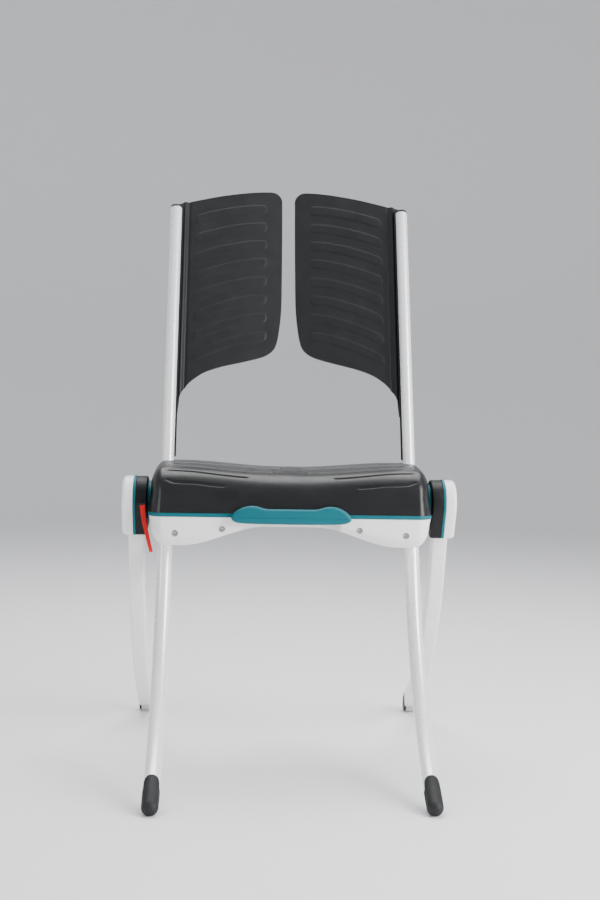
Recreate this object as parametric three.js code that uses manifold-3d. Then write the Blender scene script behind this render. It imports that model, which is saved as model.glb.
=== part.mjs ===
// Mobile lifting chair: a seat unit with a drive inside, a two-part plug-in backrest, two curved
// front legs, and two curved rear legs on motor-driven arms that raise or lower the seat.
// Millimetres. +X is the viewer's right when facing the chair, +Y is behind it, +Z is up.
import * as THREE from 'three';
import { mergeVertices } from 'three/addons/utils/BufferGeometryUtils.js';
import Module from 'manifold-3d';

const wasm = await Module();
wasm.setup();

// ---------------------------------------------------------------- driving dimensions
const FIT = 0.3;                  // gap left between touching pieces
const FOOTPRINT_CENTRE_Y = -54.5; // middle of the footprint, so that it becomes the origin

const LEAN = THREE.MathUtils.degToRad(20.8); // backrest tubes and upper front legs, from vertical
const TUBE_X = 250;               // backrest and front leg tubes, either side of the middle
const LINE_Y = -34.5;             // tube line where it crosses the hub's height
const HUB_Y = -66;                // lift axis
const HUB_Z = 523;
const BACK_TUBE_R = 12.5;
const LEG_TUBE_R = 15;
const TUBE_WALL = 1.8;
const BACK_TUBE_TOP = 668;        // along the tube line, from the hub's height

const FRONT_STRAIGHT = 134;       // straight part of a front leg below the hub's height
const FRONT_BEND_R = 707;
const FRONT_LENGTH = 666;         // down to the toe
const SHOE_R = 15.2;
const SHOE_LENGTH = 50;
const SHOE_SPIGOT = 38;           // the part of a shoe that plugs into its tube

const REAR_X = 309;               // middle of a rear leg
const REAR_WIDTH = 31;
const REAR_DEPTH = 36;
const REAR_LEAN = THREE.MathUtils.degToRad(16);
const REAR_END_LEAN = THREE.MathUtils.degToRad(65);
const REAR_STRAIGHT = 92;
const REAR_BEND_R = 655;          // front face of the leg
const REAR_WALL = 2.5;
const REAR_PLUG_TOP = 25;         // below the hub, where the leg's top end sits in its arm

const WHEEL_R = 19;
const WHEEL_WIDTH = 22;
const WHEEL_Y = 318.5;
const AXLE_R = 3;
const CHEEK = 4;

const ARM_R = 47;                 // rounded top of an arm, round the lift axis
const ARM_DROP = 64;              // lift axis to the arm's cut lower end
const ARM_INNER_X = 285;
const ARM_BAND_X = 307;
const ARM_CAP_X = 313;
const ARM_OUTER_X = 335;
const SHAFT_R = 10;

const SEAT_HALF = 280;            // seat unit at its trim line
const SEAT_FRONT = -160;
const SEAT_REAR = 48;
const TRIM_LOW = 496;
const TRIM_HIGH = 504;
const SEAT_WALL = 3;
const SEAT_CORNER = 28;

const GEAR_MODULE = 1.75;
const SECTOR_TEETH = 36;          // of a full circle
const PINION_TEETH = 12;
const GEAR_X = -60;
const GEAR_WIDTH = 12;
const PRESSURE = THREE.MathUtils.degToRad(25);
const BACKLASH = 0.35;

// ---------------------------------------------------------------- materials
const finish = (color, roughness, metalness = 0) =>
  new THREE.MeshStandardMaterial({ color, roughness, metalness });
const whitePlastic = finish(0xe6e6e4, 0.35);
const charcoal = finish(0x3a3c40, 0.42);
const panelGrey = finish(0x3d4044, 0.38);
const teal = finish(0x0098a6, 0.4);
const blackPlastic = finish(0x202226, 0.45);
const rubber = finish(0x37383a, 0.8);
const paintedTube = finish(0xdcdddd, 0.3, 0.4);
const steel = finish(0x8e9194, 0.35, 0.9);
const redWebbing = finish(0xd8202c, 0.7);
const wheelGrey = finish(0xb9b7b4, 0.6);
const boardGreen = finish(0x1d5a3a, 0.5);

// ---------------------------------------------------------------- solids
function manifoldOf(geometry) {
  const bare = geometry.index ? geometry.toNonIndexed() : geometry.clone();
  bare.deleteAttribute('normal');
  bare.deleteAttribute('uv');
  const merged = mergeVertices(bare, 1e-4);
  return new wasm.Manifold(new wasm.Mesh({
    numProp: 3,
    vertProperties: new Float32Array(merged.attributes.position.array),
    triVerts: new Uint32Array(merged.index.array),
  }));
}

function geometryOf(manifold) {
  const mesh = manifold.getMesh();
  const geometry = new THREE.BufferGeometry();
  geometry.setAttribute('position', new THREE.BufferAttribute(mesh.vertProperties, 3));
  geometry.setIndex(new THREE.BufferAttribute(mesh.triVerts, 1));
  const flat = geometry.toNonIndexed();
  flat.computeVertexNormals();
  return flat;
}

function cut(body, ...tools) {
  return geometryOf(tools.reduce((rest, tool) => rest.subtract(manifoldOf(tool)), manifoldOf(body)));
}

function join(body, ...others) {
  return geometryOf(others.reduce((sum, other) => sum.add(manifoldOf(other)), manifoldOf(body)));
}

function overlap(body, ...others) {
  return geometryOf(others.reduce((kept, other) => kept.intersect(manifoldOf(other)), manifoldOf(body)));
}

// The same solid on the other side of the chair's middle plane.
function mirrored(geometry) {
  const flipped = geometry.index ? geometry.toNonIndexed() : geometry.clone();
  flipped.scale(-1, 1, 1);
  const place = flipped.attributes.position;
  const corner = new THREE.Vector3();
  const swap = new THREE.Vector3();
  for (let i = 0; i < place.count; i += 3) {
    corner.fromBufferAttribute(place, i + 1);
    swap.fromBufferAttribute(place, i + 2);
    place.setXYZ(i + 1, swap.x, swap.y, swap.z);
    place.setXYZ(i + 2, corner.x, corner.y, corner.z);
  }
  flipped.computeVertexNormals();
  return flipped;
}

const plain = (depth, curveSegments) => ({ depth, curveSegments, bevelEnabled: false });

// An outline drawn in (Y, Z), extruded along X.
function alongX(outline, x0, x1, curveSegments = 8) {
  const geometry = new THREE.ExtrudeGeometry(outline, plain(x1 - x0, curveSegments));
  geometry.rotateX(Math.PI / 2);
  geometry.rotateZ(Math.PI / 2);
  return geometry.translate(x0, 0, 0);
}

// An outline drawn in (X, Z), extruded along Y.
function alongY(outline, y0, y1, curveSegments = 8) {
  const geometry = new THREE.ExtrudeGeometry(outline, plain(y1 - y0, curveSegments));
  geometry.rotateX(Math.PI / 2);
  return geometry.translate(0, y1, 0);
}

// An outline drawn in (X, Y), extruded along Z.
function alongZ(outline, z0, z1, curveSegments = 8) {
  const geometry = new THREE.ExtrudeGeometry(outline, plain(z1 - z0, curveSegments));
  return geometry.translate(0, 0, z0);
}

function block(x0, x1, y0, y1, z0, z1) {
  const geometry = new THREE.BoxGeometry(x1 - x0, y1 - y0, z1 - z0);
  return geometry.translate((x0 + x1) / 2, (y0 + y1) / 2, (z0 + z1) / 2);
}

function rodX(x0, x1, radius, y, z, sides = 20) {
  const geometry = new THREE.CylinderGeometry(radius, radius, x1 - x0, sides);
  geometry.rotateZ(Math.PI / 2);
  return geometry.translate((x0 + x1) / 2, y, z);
}

function rodY(y0, y1, radius, x, z, sides = 20) {
  const geometry = new THREE.CylinderGeometry(radius, radius, y1 - y0, sides);
  return geometry.translate(x, (y0 + y1) / 2, z);
}

// A ring round the X axis from four or more (radius, x) corners.
function ringX(corners, y, z, sides = 24) {
  const profile = corners.map(([radius, x]) => new THREE.Vector2(radius, x));
  profile.push(profile[0].clone());
  const geometry = new THREE.LatheGeometry(profile, sides);
  geometry.rotateZ(-Math.PI / 2);
  return geometry.translate(0, y, z);
}

function tubeRing(outer, inner, length, start, sides = 20) {
  const profile = [[inner, start], [outer, start], [outer, start + length], [inner, start + length]];
  const points = profile.map(([radius, y]) => new THREE.Vector2(radius, y));
  points.push(points[0].clone());
  return new THREE.LatheGeometry(points, sides);
}

// From the tube line's own frame (x, distance up the line, forward of it) to the chair's.
const leanMatrix = new THREE.Matrix4()
  .makeTranslation(0, LINE_Y, HUB_Z)
  .multiply(new THREE.Matrix4().makeRotationX(Math.PI / 2 - LEAN));

function boreAlongLine(x, radius, start, end, sides = 20) {
  const geometry = new THREE.CylinderGeometry(radius, radius, end - start, sides);
  geometry.translate(x, (start + end) / 2, 0);
  return geometry.applyMatrix4(leanMatrix);
}

// ---------------------------------------------------------------- leg centre line
class FrontLegLine extends THREE.Curve {
  constructor(start, end) {
    super();
    this.start = start;
    this.end = end;
  }

  getPoint(t, target = new THREE.Vector3()) {
    const run = this.start + t * (this.end - this.start);
    const straight = Math.min(run, FRONT_STRAIGHT);
    const y = LINE_Y - straight * Math.sin(LEAN);
    const z = HUB_Z - straight * Math.cos(LEAN);
    const turned = LEAN + (run - straight) / FRONT_BEND_R;
    return target.set(
      0,
      y + FRONT_BEND_R * (Math.cos(turned) - Math.cos(LEAN)),
      z - FRONT_BEND_R * (Math.sin(turned) - Math.sin(LEAN)),
    );
  }
}

function sweptRound(start, end, radius, steps, sides, hole = 0) {
  const outline = new THREE.Shape();
  outline.absarc(0, 0, radius, 0, Math.PI * 2);
  if (hole > 0) {
    const bore = new THREE.Path();
    bore.absarc(0, 0, hole, 0, Math.PI * 2, true);
    outline.holes.push(bore);
  }
  const extrudePath = new FrontLegLine(start, end);
  const options = { steps, curveSegments: sides, bevelEnabled: false, extrudePath };
  return new THREE.ExtrudeGeometry(outline, options);
}

// ---------------------------------------------------------------- seat unit outlines
function frontOutlineLower(inset) {
  const half = SEAT_HALF - inset;
  const up = inset;
  const outline = new THREE.Shape();
  outline.moveTo(-half, TRIM_LOW);
  outline.lineTo(-half + 2, 485);
  outline.bezierCurveTo(-half + 8, 452 + up, -half + 18, 434 + up, -half + 48, 434 + up);
  outline.bezierCurveTo(-205, 434 + up, -190, 440 + up, -165, 448 + up);
  outline.bezierCurveTo(-120, 462 + up, -110, 478 + up, -60, 478 + up);
  outline.lineTo(60, 478 + up);
  outline.bezierCurveTo(110, 478 + up, 120, 462 + up, 165, 448 + up);
  outline.bezierCurveTo(190, 440 + up, 205, 434 + up, half - 48, 434 + up);
  outline.bezierCurveTo(half - 18, 434 + up, half - 8, 452 + up, half - 2, 485);
  outline.lineTo(half, TRIM_LOW);
  return outline;
}

function frontOutlineUpper(inset) {
  const half = SEAT_HALF - inset;
  const outline = new THREE.Shape();
  outline.moveTo(half, TRIM_HIGH);
  outline.bezierCurveTo(half - 1, 545, half - 8, 575, half - 14, 585 - inset);
  outline.quadraticCurveTo(half - 22, 598 - inset, half - 48, 600 - inset);
  outline.bezierCurveTo(160, 600 - inset, 120, 588 - inset, 40, 587 - inset);
  outline.lineTo(-40, 587 - inset);
  outline.bezierCurveTo(-120, 588 - inset, -160, 600 - inset, -half + 48, 600 - inset);
  outline.quadraticCurveTo(-half + 22, 598 - inset, -half + 14, 585 - inset);
  outline.bezierCurveTo(-half + 8, 575, -half + 1, 545, -half, TRIM_HIGH);
  return outline;
}

function sideOutlineLower(inset) {
  const outline = new THREE.Shape();
  outline.moveTo(SEAT_FRONT + 4 + inset, TRIM_LOW);
  outline.quadraticCurveTo(SEAT_FRONT + 8 + inset, 434 + inset, SEAT_FRONT + 50, 430 + inset);
  outline.lineTo(SEAT_REAR - 25, 430 + inset);
  outline.quadraticCurveTo(SEAT_REAR - inset, 432 + inset, SEAT_REAR - inset, 460);
  outline.lineTo(SEAT_REAR - inset, TRIM_LOW);
  return outline;
}

function sideOutlineUpper(inset) {
  const outline = new THREE.Shape();
  outline.moveTo(SEAT_FRONT + 4 + inset, TRIM_HIGH);
  outline.bezierCurveTo(SEAT_FRONT - 2 + inset, 540, SEAT_FRONT + 2 + inset, 572, -122, 585 - inset);
  outline.bezierCurveTo(-90, 594 - inset, -40, 598 - inset, 0, 600.5 - inset);
  outline.bezierCurveTo(28, 602 - inset, SEAT_REAR - 2 - inset, 590 - inset, SEAT_REAR - inset, 565);
  outline.lineTo(SEAT_REAR - inset, TRIM_HIGH);
  outline.closePath();
  return outline;
}

function roundedPlan(inset) {
  const x = SEAT_HALF + 1 - inset;
  const y0 = SEAT_FRONT - 2 + inset;
  const y1 = SEAT_REAR - inset;
  const r = SEAT_CORNER - inset;
  const outline = new THREE.Shape();
  outline.moveTo(-x + r, y0);
  outline.lineTo(x - r, y0);
  outline.absarc(x - r, y0 + r, r, -Math.PI / 2, 0);
  outline.absarc(x - r, y1 - r, r, 0, Math.PI / 2);
  outline.absarc(-x + r, y1 - r, r, Math.PI / 2, Math.PI);
  outline.absarc(-x + r, y0 + r, r, Math.PI, Math.PI * 1.5);
  return outline;
}

function lowerBody(inset) {
  const curve = inset > 0 ? 3 : 5;
  return overlap(
    alongY(frontOutlineLower(inset), SEAT_FRONT - 5, SEAT_REAR + 5, curve),
    alongX(sideOutlineLower(inset), -SEAT_HALF - 5, SEAT_HALF + 5, curve),
    alongZ(roundedPlan(inset), 420, TRIM_LOW, curve - 1),
  );
}

function upperBody(inset) {
  const curve = inset > 0 ? 4 : 6;
  return overlap(
    alongY(frontOutlineUpper(inset), SEAT_FRONT - 5, SEAT_REAR + 5, curve),
    alongX(sideOutlineUpper(inset), -SEAT_HALF - 5, SEAT_HALF + 5, curve),
    alongZ(roundedPlan(inset), TRIM_HIGH, 620, curve - 2),
  );
}

// Ring boss of the lift bearing, cut out of both shells on each side.
const BOSS_R = 38;
const bossCuts = [-1, 1].map((side) => {
  const near = side > 0 ? 266 : -SEAT_HALF - 10;
  return rodX(near, near + 24, BOSS_R + FIT, HUB_Y, HUB_Z, 32);
});

// Hand recess behind the carry handle, open at the front and below.
const RECESS_HALF = 98;
const RECESS_BACK = -128;
const RECESS_TOP = 492;

function recess(extra) {
  return block(
    -RECESS_HALF - extra, RECESS_HALF + extra,
    SEAT_FRONT - 20, RECESS_BACK + extra,
    400, RECESS_TOP + extra,
  );
}

const SHELL_SCREWS = [[227, 463], [135, 472]];   // across and up, mirrored to the other side
const KNOB_R = 4;
const LATCHES = { backrest: 565, front_leg: 478 };

function lowerShell() {
  const cavity = cut(
    join(lowerBody(SEAT_WALL), block(-270, 270, -140, 40, TRIM_LOW - 8, TRIM_LOW + 5)),
    recess(SEAT_WALL),
  );
  const holes = [-1, 1].flatMap((side) => [
    boreAlongLine(side * TUBE_X, LEG_TUBE_R + 1, -130, -40, 20),
    rodY(SEAT_REAR - 6, SEAT_REAR + 2, KNOB_R + FIT, side * TUBE_X, LATCHES.front_leg, 12),
    ...SHELL_SCREWS.map(([x, z]) => rodY(SEAT_FRONT, SEAT_FRONT + 18, 5.3, side * x, z, 12)),
  ]);
  return cut(lowerBody(0), recess(0), cavity, ...bossCuts, ...holes);
}

const PAD_X = 140;
const PAD_Z = 540;
const BUTTON_GAP = 13;

function seatCover() {
  const cavity = join(upperBody(SEAT_WALL), block(-270, 270, -148, 40, TRIM_HIGH - 5, TRIM_HIGH + 4));
  const holes = [-1, 1].flatMap((side) => [
    boreAlongLine(side * TUBE_X, BACK_TUBE_R + 0.8, 50, 110, 20),
    rodY(SEAT_REAR - 6, SEAT_REAR + 2, KNOB_R + FIT, side * TUBE_X, LATCHES.backrest, 12),
    rodY(SEAT_REAR - 6, SEAT_REAR + 2, 8.5, PAD_X + side * BUTTON_GAP, PAD_Z, 12),
  ]);
  return cut(upperBody(0), cavity, ...bossCuts, ...holes);
}

// The strip between the two shells, in front of the lift axis or behind it.
function trimStrip(front) {
  const outer = alongZ(roundedPlan(-0.5), TRIM_LOW + FIT, TRIM_HIGH - FIT, 4);
  const inner = alongZ(roundedPlan(7), TRIM_LOW - 5, TRIM_HIGH + 5, 4);
  const kept = front ? [SEAT_FRONT - 20, HUB_Y] : [HUB_Y, SEAT_REAR + 20];
  return overlap(cut(outer, inner, ...bossCuts), block(-400, 400, ...kept, 480, 540));
}

function carryHandle() {
  const outline = new THREE.Shape();
  outline.moveTo(-104, 486);
  outline.lineTo(104, 486);
  outline.bezierCurveTo(114, 487, 118, 494, 117, 501);
  outline.bezierCurveTo(111, 506, 98, 520, 78, 520.5);
  outline.bezierCurveTo(62, 521, 58, 514, 40, 514.5);
  outline.lineTo(-40, 514.5);
  outline.bezierCurveTo(-58, 514, -62, 521, -78, 520.5);
  outline.bezierCurveTo(-98, 520, -111, 506, -117, 501);
  outline.bezierCurveTo(-118, 494, -114, 487, -104, 486);
  const bar = alongY(outline, SEAT_FRONT - 16, SEAT_FRONT - 3, 5);
  const posts = [-1, 1].map((side) => {
    const near = side > 0 ? RECESS_HALF + 2 : -RECESS_HALF - 16;
    return block(near, near + 14, SEAT_FRONT - 4, SEAT_FRONT + 3, 486.5, 494.5);
  });
  return cut(join(bar, ...posts), lowerBody(-FIT));
}

// ---------------------------------------------------------------- inside the seat unit
// One steel socket for both tubes: the leg plugs in from below, the backrest from above.
function socketTube() {
  const profile = [
    [LEG_TUBE_R + FIT, -66], [17.5, -66], [17.5, 4], [15.5, 8], [15.5, 52], [BACK_TUBE_R + FIT, 52],
    [BACK_TUBE_R + FIT, 7], [8, 7], [8, -7], [LEG_TUBE_R + FIT, -7],
  ];
  const points = profile.map(([radius, y]) => new THREE.Vector2(radius, y));
  points.push(points[0].clone());
  return new THREE.LatheGeometry(points, 20);
}

function sidePlate() {
  const outline = new THREE.Shape();
  outline.moveTo(-120, 477);
  outline.lineTo(27, 477);
  outline.lineTo(27, 530);
  outline.lineTo(-10, 548);
  outline.lineTo(-100, 548);
  outline.lineTo(-120, 530);
  const plate = alongX(outline, 268.6, 271.6);
  return cut(plate, rodX(260, 280, SHAFT_R + 0.6, HUB_Y, HUB_Z));
}

function bearing() {
  const corners = [[SHAFT_R + FIT, 272], [22, 272], [22, 284], [SHAFT_R + FIT, 284]];
  return ringX(corners, HUB_Y, HUB_Z, 24);
}

function bossRing() {
  const corners = [[22 + FIT, 272.2], [BOSS_R, 272.2], [BOSS_R, 283.2], [BOSS_R - 1, 284.4], [22 + FIT, 284.4]];
  return ringX(corners, HUB_Y, HUB_Z, 28);
}

function gearOutline(teeth, first, last, offset, hub) {
  const pitchR = GEAR_MODULE * teeth / 2;
  const baseR = pitchR * Math.cos(PRESSURE);
  const tipR = pitchR + GEAR_MODULE;
  const rootR = pitchR - 1.2 * GEAR_MODULE;
  const involute = (r) => {
    const a = Math.acos(Math.min(1, baseR / r));
    return Math.tan(a) - a;
  };
  const pitchHalf = Math.PI / (2 * teeth) - BACKLASH / (2 * pitchR);
  const halfAngle = (r) => pitchHalf + involute(pitchR) - involute(Math.max(r, baseR));
  const radii = [rootR, Math.max(baseR, rootR + 0.4), pitchR, tipR];
  const points = [];
  const put = (r, a) => points.push(new THREE.Vector2(r * Math.cos(a), r * Math.sin(a)));
  for (let k = first; k <= last; k += 1) {
    const middle = (k + offset) * Math.PI * 2 / teeth;
    radii.forEach((r) => put(r, middle - halfAngle(r)));
    [...radii].reverse().forEach((r) => put(r, middle + halfAngle(r)));
  }
  if (last - first + 1 < teeth) {
    const start = (last + 1) * Math.PI * 2 / teeth;
    const end = (first - 1) * Math.PI * 2 / teeth + Math.PI * 2;
    for (let k = 0; k <= 6; k += 1) {
      put(hub, start + (end - start) * k / 6);
    }
  }
  return new THREE.Shape(points);
}

const PINION_Y = HUB_Y + GEAR_MODULE * (SECTOR_TEETH + PINION_TEETH) / 2;

function sectorGear() {
  const gear = alongX(gearOutline(SECTOR_TEETH, -14, 3, 0, 18), GEAR_X, GEAR_X + GEAR_WIDTH);
  const bore = rodX(GEAR_X - 5, GEAR_X + GEAR_WIDTH + 5, SHAFT_R + FIT, 0, 0);
  return cut(gear, bore).translate(0, HUB_Y, HUB_Z);
}

function motorPinion() {
  const gear = alongX(gearOutline(PINION_TEETH, 0, PINION_TEETH - 1, 0.5, 0), GEAR_X - 1, GEAR_X + 13);
  return join(gear, rodX(GEAR_X + 12, GEAR_X + 16, 5, 0, 0, 12)).translate(0, PINION_Y, HUB_Z);
}

function gearMotor() {
  const gearbox = rodX(-43.5, -8, 24, PINION_Y, HUB_Z, 24);
  const motor = rodX(-9, 44, 19, PINION_Y, HUB_Z, 24);
  const foot = block(-42, -10, PINION_Y - 20, PINION_Y + 20, 485, 510);
  return join(gearbox, motor, foot);
}

function batteryPack() {
  const outline = new THREE.Shape();
  outline.moveTo(66, 490);
  outline.lineTo(198, 490);
  outline.lineTo(204, 496);
  outline.lineTo(204, 554);
  outline.lineTo(198, 560);
  outline.lineTo(66, 560);
  outline.lineTo(60, 554);
  outline.lineTo(60, 496);
  return alongY(outline, -50, 10);
}

function controlBoard() {
  const board = block(-205, -80, -48, 8, 492, 494);
  const parts = [block(-195, -165, -40, 0, 493, 512), block(-150, -120, -36, -16, 493, 504)];
  return join(board, ...parts, block(-110, -90, -40, 0, 493, 506));
}

function controlPad() {
  const outline = new THREE.Shape();
  outline.absarc(PAD_X + 18, PAD_Z, 13, -Math.PI / 2, Math.PI / 2);
  outline.absarc(PAD_X - 18, PAD_Z, 13, Math.PI / 2, Math.PI * 1.5);
  const pad = alongY(outline, SEAT_REAR + FIT, SEAT_REAR + 3, 8);
  const holes = [-1, 1].map((side) =>
    rodY(SEAT_REAR - 2, SEAT_REAR + 6, 8, PAD_X + side * BUTTON_GAP, PAD_Z, 16));
  return cut(pad, ...holes);
}

function chargePort() {
  const rim = rodY(SEAT_REAR + FIT, SEAT_REAR + 3, 11, -PAD_X, 480, 20);
  return cut(rim, rodY(SEAT_REAR + 1, SEAT_REAR + 6, 7, -PAD_X, 480, 16));
}

function latchKnob(z) {
  const socketBack = LINE_Y + (z - HUB_Z) * Math.tan(LEAN) + 18 / Math.cos(LEAN);
  const pin = rodY(socketBack + 3, SEAT_REAR + 5, KNOB_R, TUBE_X, z, 12);
  return join(pin, rodY(SEAT_REAR + 4, SEAT_REAR + 14, 8, TUBE_X, z, 16));
}

// ---------------------------------------------------------------- arms and rear legs
const rearBend = {
  y: HUB_Y - REAR_DEPTH / 2 / Math.cos(REAR_LEAN) + REAR_STRAIGHT * Math.sin(REAR_LEAN)
    + REAR_BEND_R * Math.cos(REAR_LEAN),
  z: HUB_Z - REAR_STRAIGHT * Math.cos(REAR_LEAN) + REAR_BEND_R * Math.sin(REAR_LEAN),
};

// A point on the straight part: distance below the hub, and distance behind the leg's middle.
function onLeg(down, behind) {
  return new THREE.Vector2(
    HUB_Y + down * Math.sin(REAR_LEAN) + behind * Math.cos(REAR_LEAN),
    HUB_Z - down * Math.cos(REAR_LEAN) + behind * Math.sin(REAR_LEAN),
  );
}

// A point beyond the leg's cut end: along the leg, and in from its front face.
function pastEnd(along, inwards) {
  return new THREE.Vector2(
    rearBend.y - (REAR_BEND_R - inwards) * Math.cos(REAR_END_LEAN) + along * Math.sin(REAR_END_LEAN),
    rearBend.z - (REAR_BEND_R - inwards) * Math.sin(REAR_END_LEAN) - along * Math.cos(REAR_END_LEAN),
  );
}

function rearLegOutline(inset, top) {
  const outline = new THREE.Shape();
  const half = REAR_DEPTH / 2 - inset;
  const from = Math.PI + REAR_LEAN;
  const to = Math.PI + REAR_END_LEAN;
  const front = onLeg(top, -half);
  const back = onLeg(top, half);
  outline.moveTo(front.x, front.y);
  outline.absarc(rearBend.y, rearBend.z, REAR_BEND_R - inset, from, to);
  if (inset > 0) {
    const frontEnd = pastEnd(20, inset);
    const backEnd = pastEnd(20, REAR_DEPTH - inset);
    outline.lineTo(frontEnd.x, frontEnd.y);
    outline.lineTo(backEnd.x, backEnd.y);
  }
  outline.absarc(rearBend.y, rearBend.z, REAR_BEND_R - REAR_DEPTH + inset, to, from, true);
  outline.lineTo(back.x, back.y);
  return outline;
}

function rearLeg() {
  const half = REAR_WIDTH / 2;
  const body = alongX(rearLegOutline(0, REAR_PLUG_TOP), REAR_X - half, REAR_X + half, 14);
  const hollow = rearLegOutline(REAR_WALL, REAR_PLUG_TOP - 10);
  return cut(body, alongX(hollow, REAR_X - half + REAR_WALL, REAR_X + half - REAR_WALL, 14));
}

function armOutline(radius) {
  const outline = new THREE.Shape();
  const front = onLeg(ARM_DROP, -radius + 9);
  const back = onLeg(ARM_DROP, radius - 9);
  outline.moveTo(front.x, front.y);
  outline.lineTo(back.x, back.y);
  outline.absarc(HUB_Y, HUB_Z, radius, REAR_LEAN, Math.PI + REAR_LEAN);
  return outline;
}

function legPocket() {
  const half = REAR_WIDTH / 2 + FIT;
  const corners = [
    onLeg(REAR_PLUG_TOP - FIT, -REAR_DEPTH / 2 - FIT), onLeg(ARM_DROP + 30, -REAR_DEPTH / 2 - FIT),
    onLeg(ARM_DROP + 30, REAR_DEPTH / 2 + FIT), onLeg(REAR_PLUG_TOP - FIT, REAR_DEPTH / 2 + FIT),
  ];
  return alongX(new THREE.Shape(corners), REAR_X - half, REAR_X + half);
}

function armHousing() {
  const body = alongX(armOutline(ARM_R), ARM_INNER_X, ARM_BAND_X, 10);
  return cut(body, legPocket(), rodX(280, 300, SHAFT_R + FIT, HUB_Y, HUB_Z));
}

function armBand() {
  const body = alongX(armOutline(ARM_R + 1), ARM_BAND_X + FIT, ARM_CAP_X - FIT, 10);
  return cut(body, legPocket());
}

function armCap() {
  const bevel = 7;
  const depth = ARM_OUTER_X - ARM_CAP_X - bevel;
  const options = {
    depth, curveSegments: 10, bevelThickness: bevel, bevelSize: bevel, bevelOffset: -bevel, bevelSegments: 3,
  };
  const cap = new THREE.ExtrudeGeometry(armOutline(ARM_R), options);
  cap.rotateX(Math.PI / 2);
  cap.rotateZ(Math.PI / 2);
  cap.translate(ARM_CAP_X, 0, 0);
  const inner = block(ARM_CAP_X - 20, ARM_CAP_X, HUB_Y - 80, HUB_Y + 100, HUB_Z - 120, HUB_Z + 80);
  return cut(cap, inner, legPocket());
}

function wheelFork() {
  const half = REAR_WIDTH / 2;
  const outline = new THREE.Shape();
  const turn = REAR_END_LEAN - Math.PI / 2;
  const front = pastEnd(FIT, 0.5);
  const back = pastEnd(FIT, REAR_DEPTH - 0.5);
  outline.moveTo(back.x, back.y);
  outline.lineTo(front.x, front.y);
  outline.absarc(WHEEL_Y, WHEEL_R, WHEEL_R - 2, turn - Math.PI * 0.66, turn + Math.PI * 0.42);
  const whole = alongX(outline, REAR_X - half, REAR_X + half, 10);
  const plugCorners = [pastEnd(1, 4), pastEnd(1, 32), pastEnd(-22, 32), pastEnd(-22, 4)];
  const plug = alongX(new THREE.Shape(plugCorners), REAR_X - half + 3.2, REAR_X + half - 3.2);
  const slotHalf = half - CHEEK;
  const slotCorners = [pastEnd(3, -30), pastEnd(60, -30), pastEnd(60, 60), pastEnd(3, 60)];
  const slot = alongX(new THREE.Shape(slotCorners), REAR_X - slotHalf, REAR_X + slotHalf);
  const axleHole = rodX(REAR_X - 20, REAR_X + 20, AXLE_R + 0.2, WHEEL_Y, WHEEL_R, 16);
  return cut(join(whole, plug), slot, axleHole);
}

const AXLE_HALF = REAR_WIDTH / 2 - 0.5;
const wheelAxle = () => rodX(REAR_X - AXLE_HALF, REAR_X + AXLE_HALF, AXLE_R, WHEEL_Y, WHEEL_R, 16);

function wheel() {
  const half = WHEEL_WIDTH / 2;
  const bore = AXLE_R + FIT;
  const corners = [
    [bore, REAR_X - half], [WHEEL_R - 1.5, REAR_X - half], [WHEEL_R, REAR_X - half + 1.5],
    [WHEEL_R, REAR_X + half - 1.5], [WHEEL_R - 1.5, REAR_X + half], [bore, REAR_X + half],
  ];
  return ringX(corners, WHEEL_Y, WHEEL_R, 24);
}

// ---------------------------------------------------------------- front legs
const shoeStart = FRONT_LENGTH - SHOE_LENGTH;

const frontLegTube = () =>
  sweptRound(10, shoeStart - FIT, LEG_TUBE_R, 14, 7, LEG_TUBE_R - TUBE_WALL).translate(TUBE_X, 0, 0);

// A rubber end that carries on the tube's line to a rounded toe, flat where it meets the floor.
function frontShoe() {
  const noseRun = FRONT_LENGTH - 1;
  const body = sweptRound(shoeStart, noseRun, SHOE_R, 3, 7);
  const spigot = sweptRound(shoeStart - SHOE_SPIGOT, shoeStart + 5, LEG_TUBE_R - TUBE_WALL - 3 * FIT, 3, 6);
  const nose = new THREE.SphereGeometry(SHOE_R, 14, 8);
  const tip = new FrontLegLine(shoeStart, noseRun).getPoint(1);
  nose.translate(tip.x, tip.y, tip.z);
  const floor = block(-50, 50, tip.y - 60, tip.y + 160, -60, 0);
  return cut(join(body, nose, spigot), floor).translate(TUBE_X, 0, 0);
}

// ---------------------------------------------------------------- backrest
const PANEL_WALL = 4;
const SLEEVE_R = 16.4;
const SLEEVE_START = 92;
const SLEEVE_END = 676;

// A panel's front view: across, and distance up the tube line.
function panelOutline() {
  const outline = new THREE.Shape();
  outline.moveTo(245, 190);
  outline.lineTo(245, 687);
  outline.quadraticCurveTo(160, 714, 85, 729);
  outline.lineTo(40, 734.5);
  outline.quadraticCurveTo(15, 735, 15, 710);
  outline.lineTo(15, 465);
  outline.bezierCurveTo(15, 420, 18, 390, 24, 370);
  outline.quadraticCurveTo(32, 334, 62, 327);
  outline.lineTo(143, 306);
  outline.bezierCurveTo(205, 287, 232, 262, 237, 190);
  return outline;
}

// A panel's section, across and behind the tube: a shallow curve that falls back towards the middle.
function panelSection() {
  const outline = new THREE.Shape();
  outline.moveTo(248, 13.5);
  outline.quadraticCurveTo(150, 20, 8, 38);
  outline.lineTo(8, 38 + PANEL_WALL);
  outline.quadraticCurveTo(150, 20 + PANEL_WALL, 248, 13.5 + PANEL_WALL);
  return outline;
}

// A section drawn across and behind, run up the tube line.
function upTheLine(section, start, end, curveSegments) {
  const geometry = new THREE.ExtrudeGeometry(section, plain(end - start, curveSegments));
  geometry.rotateX(-Math.PI / 2);
  return geometry.translate(0, start, 0);
}

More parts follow.
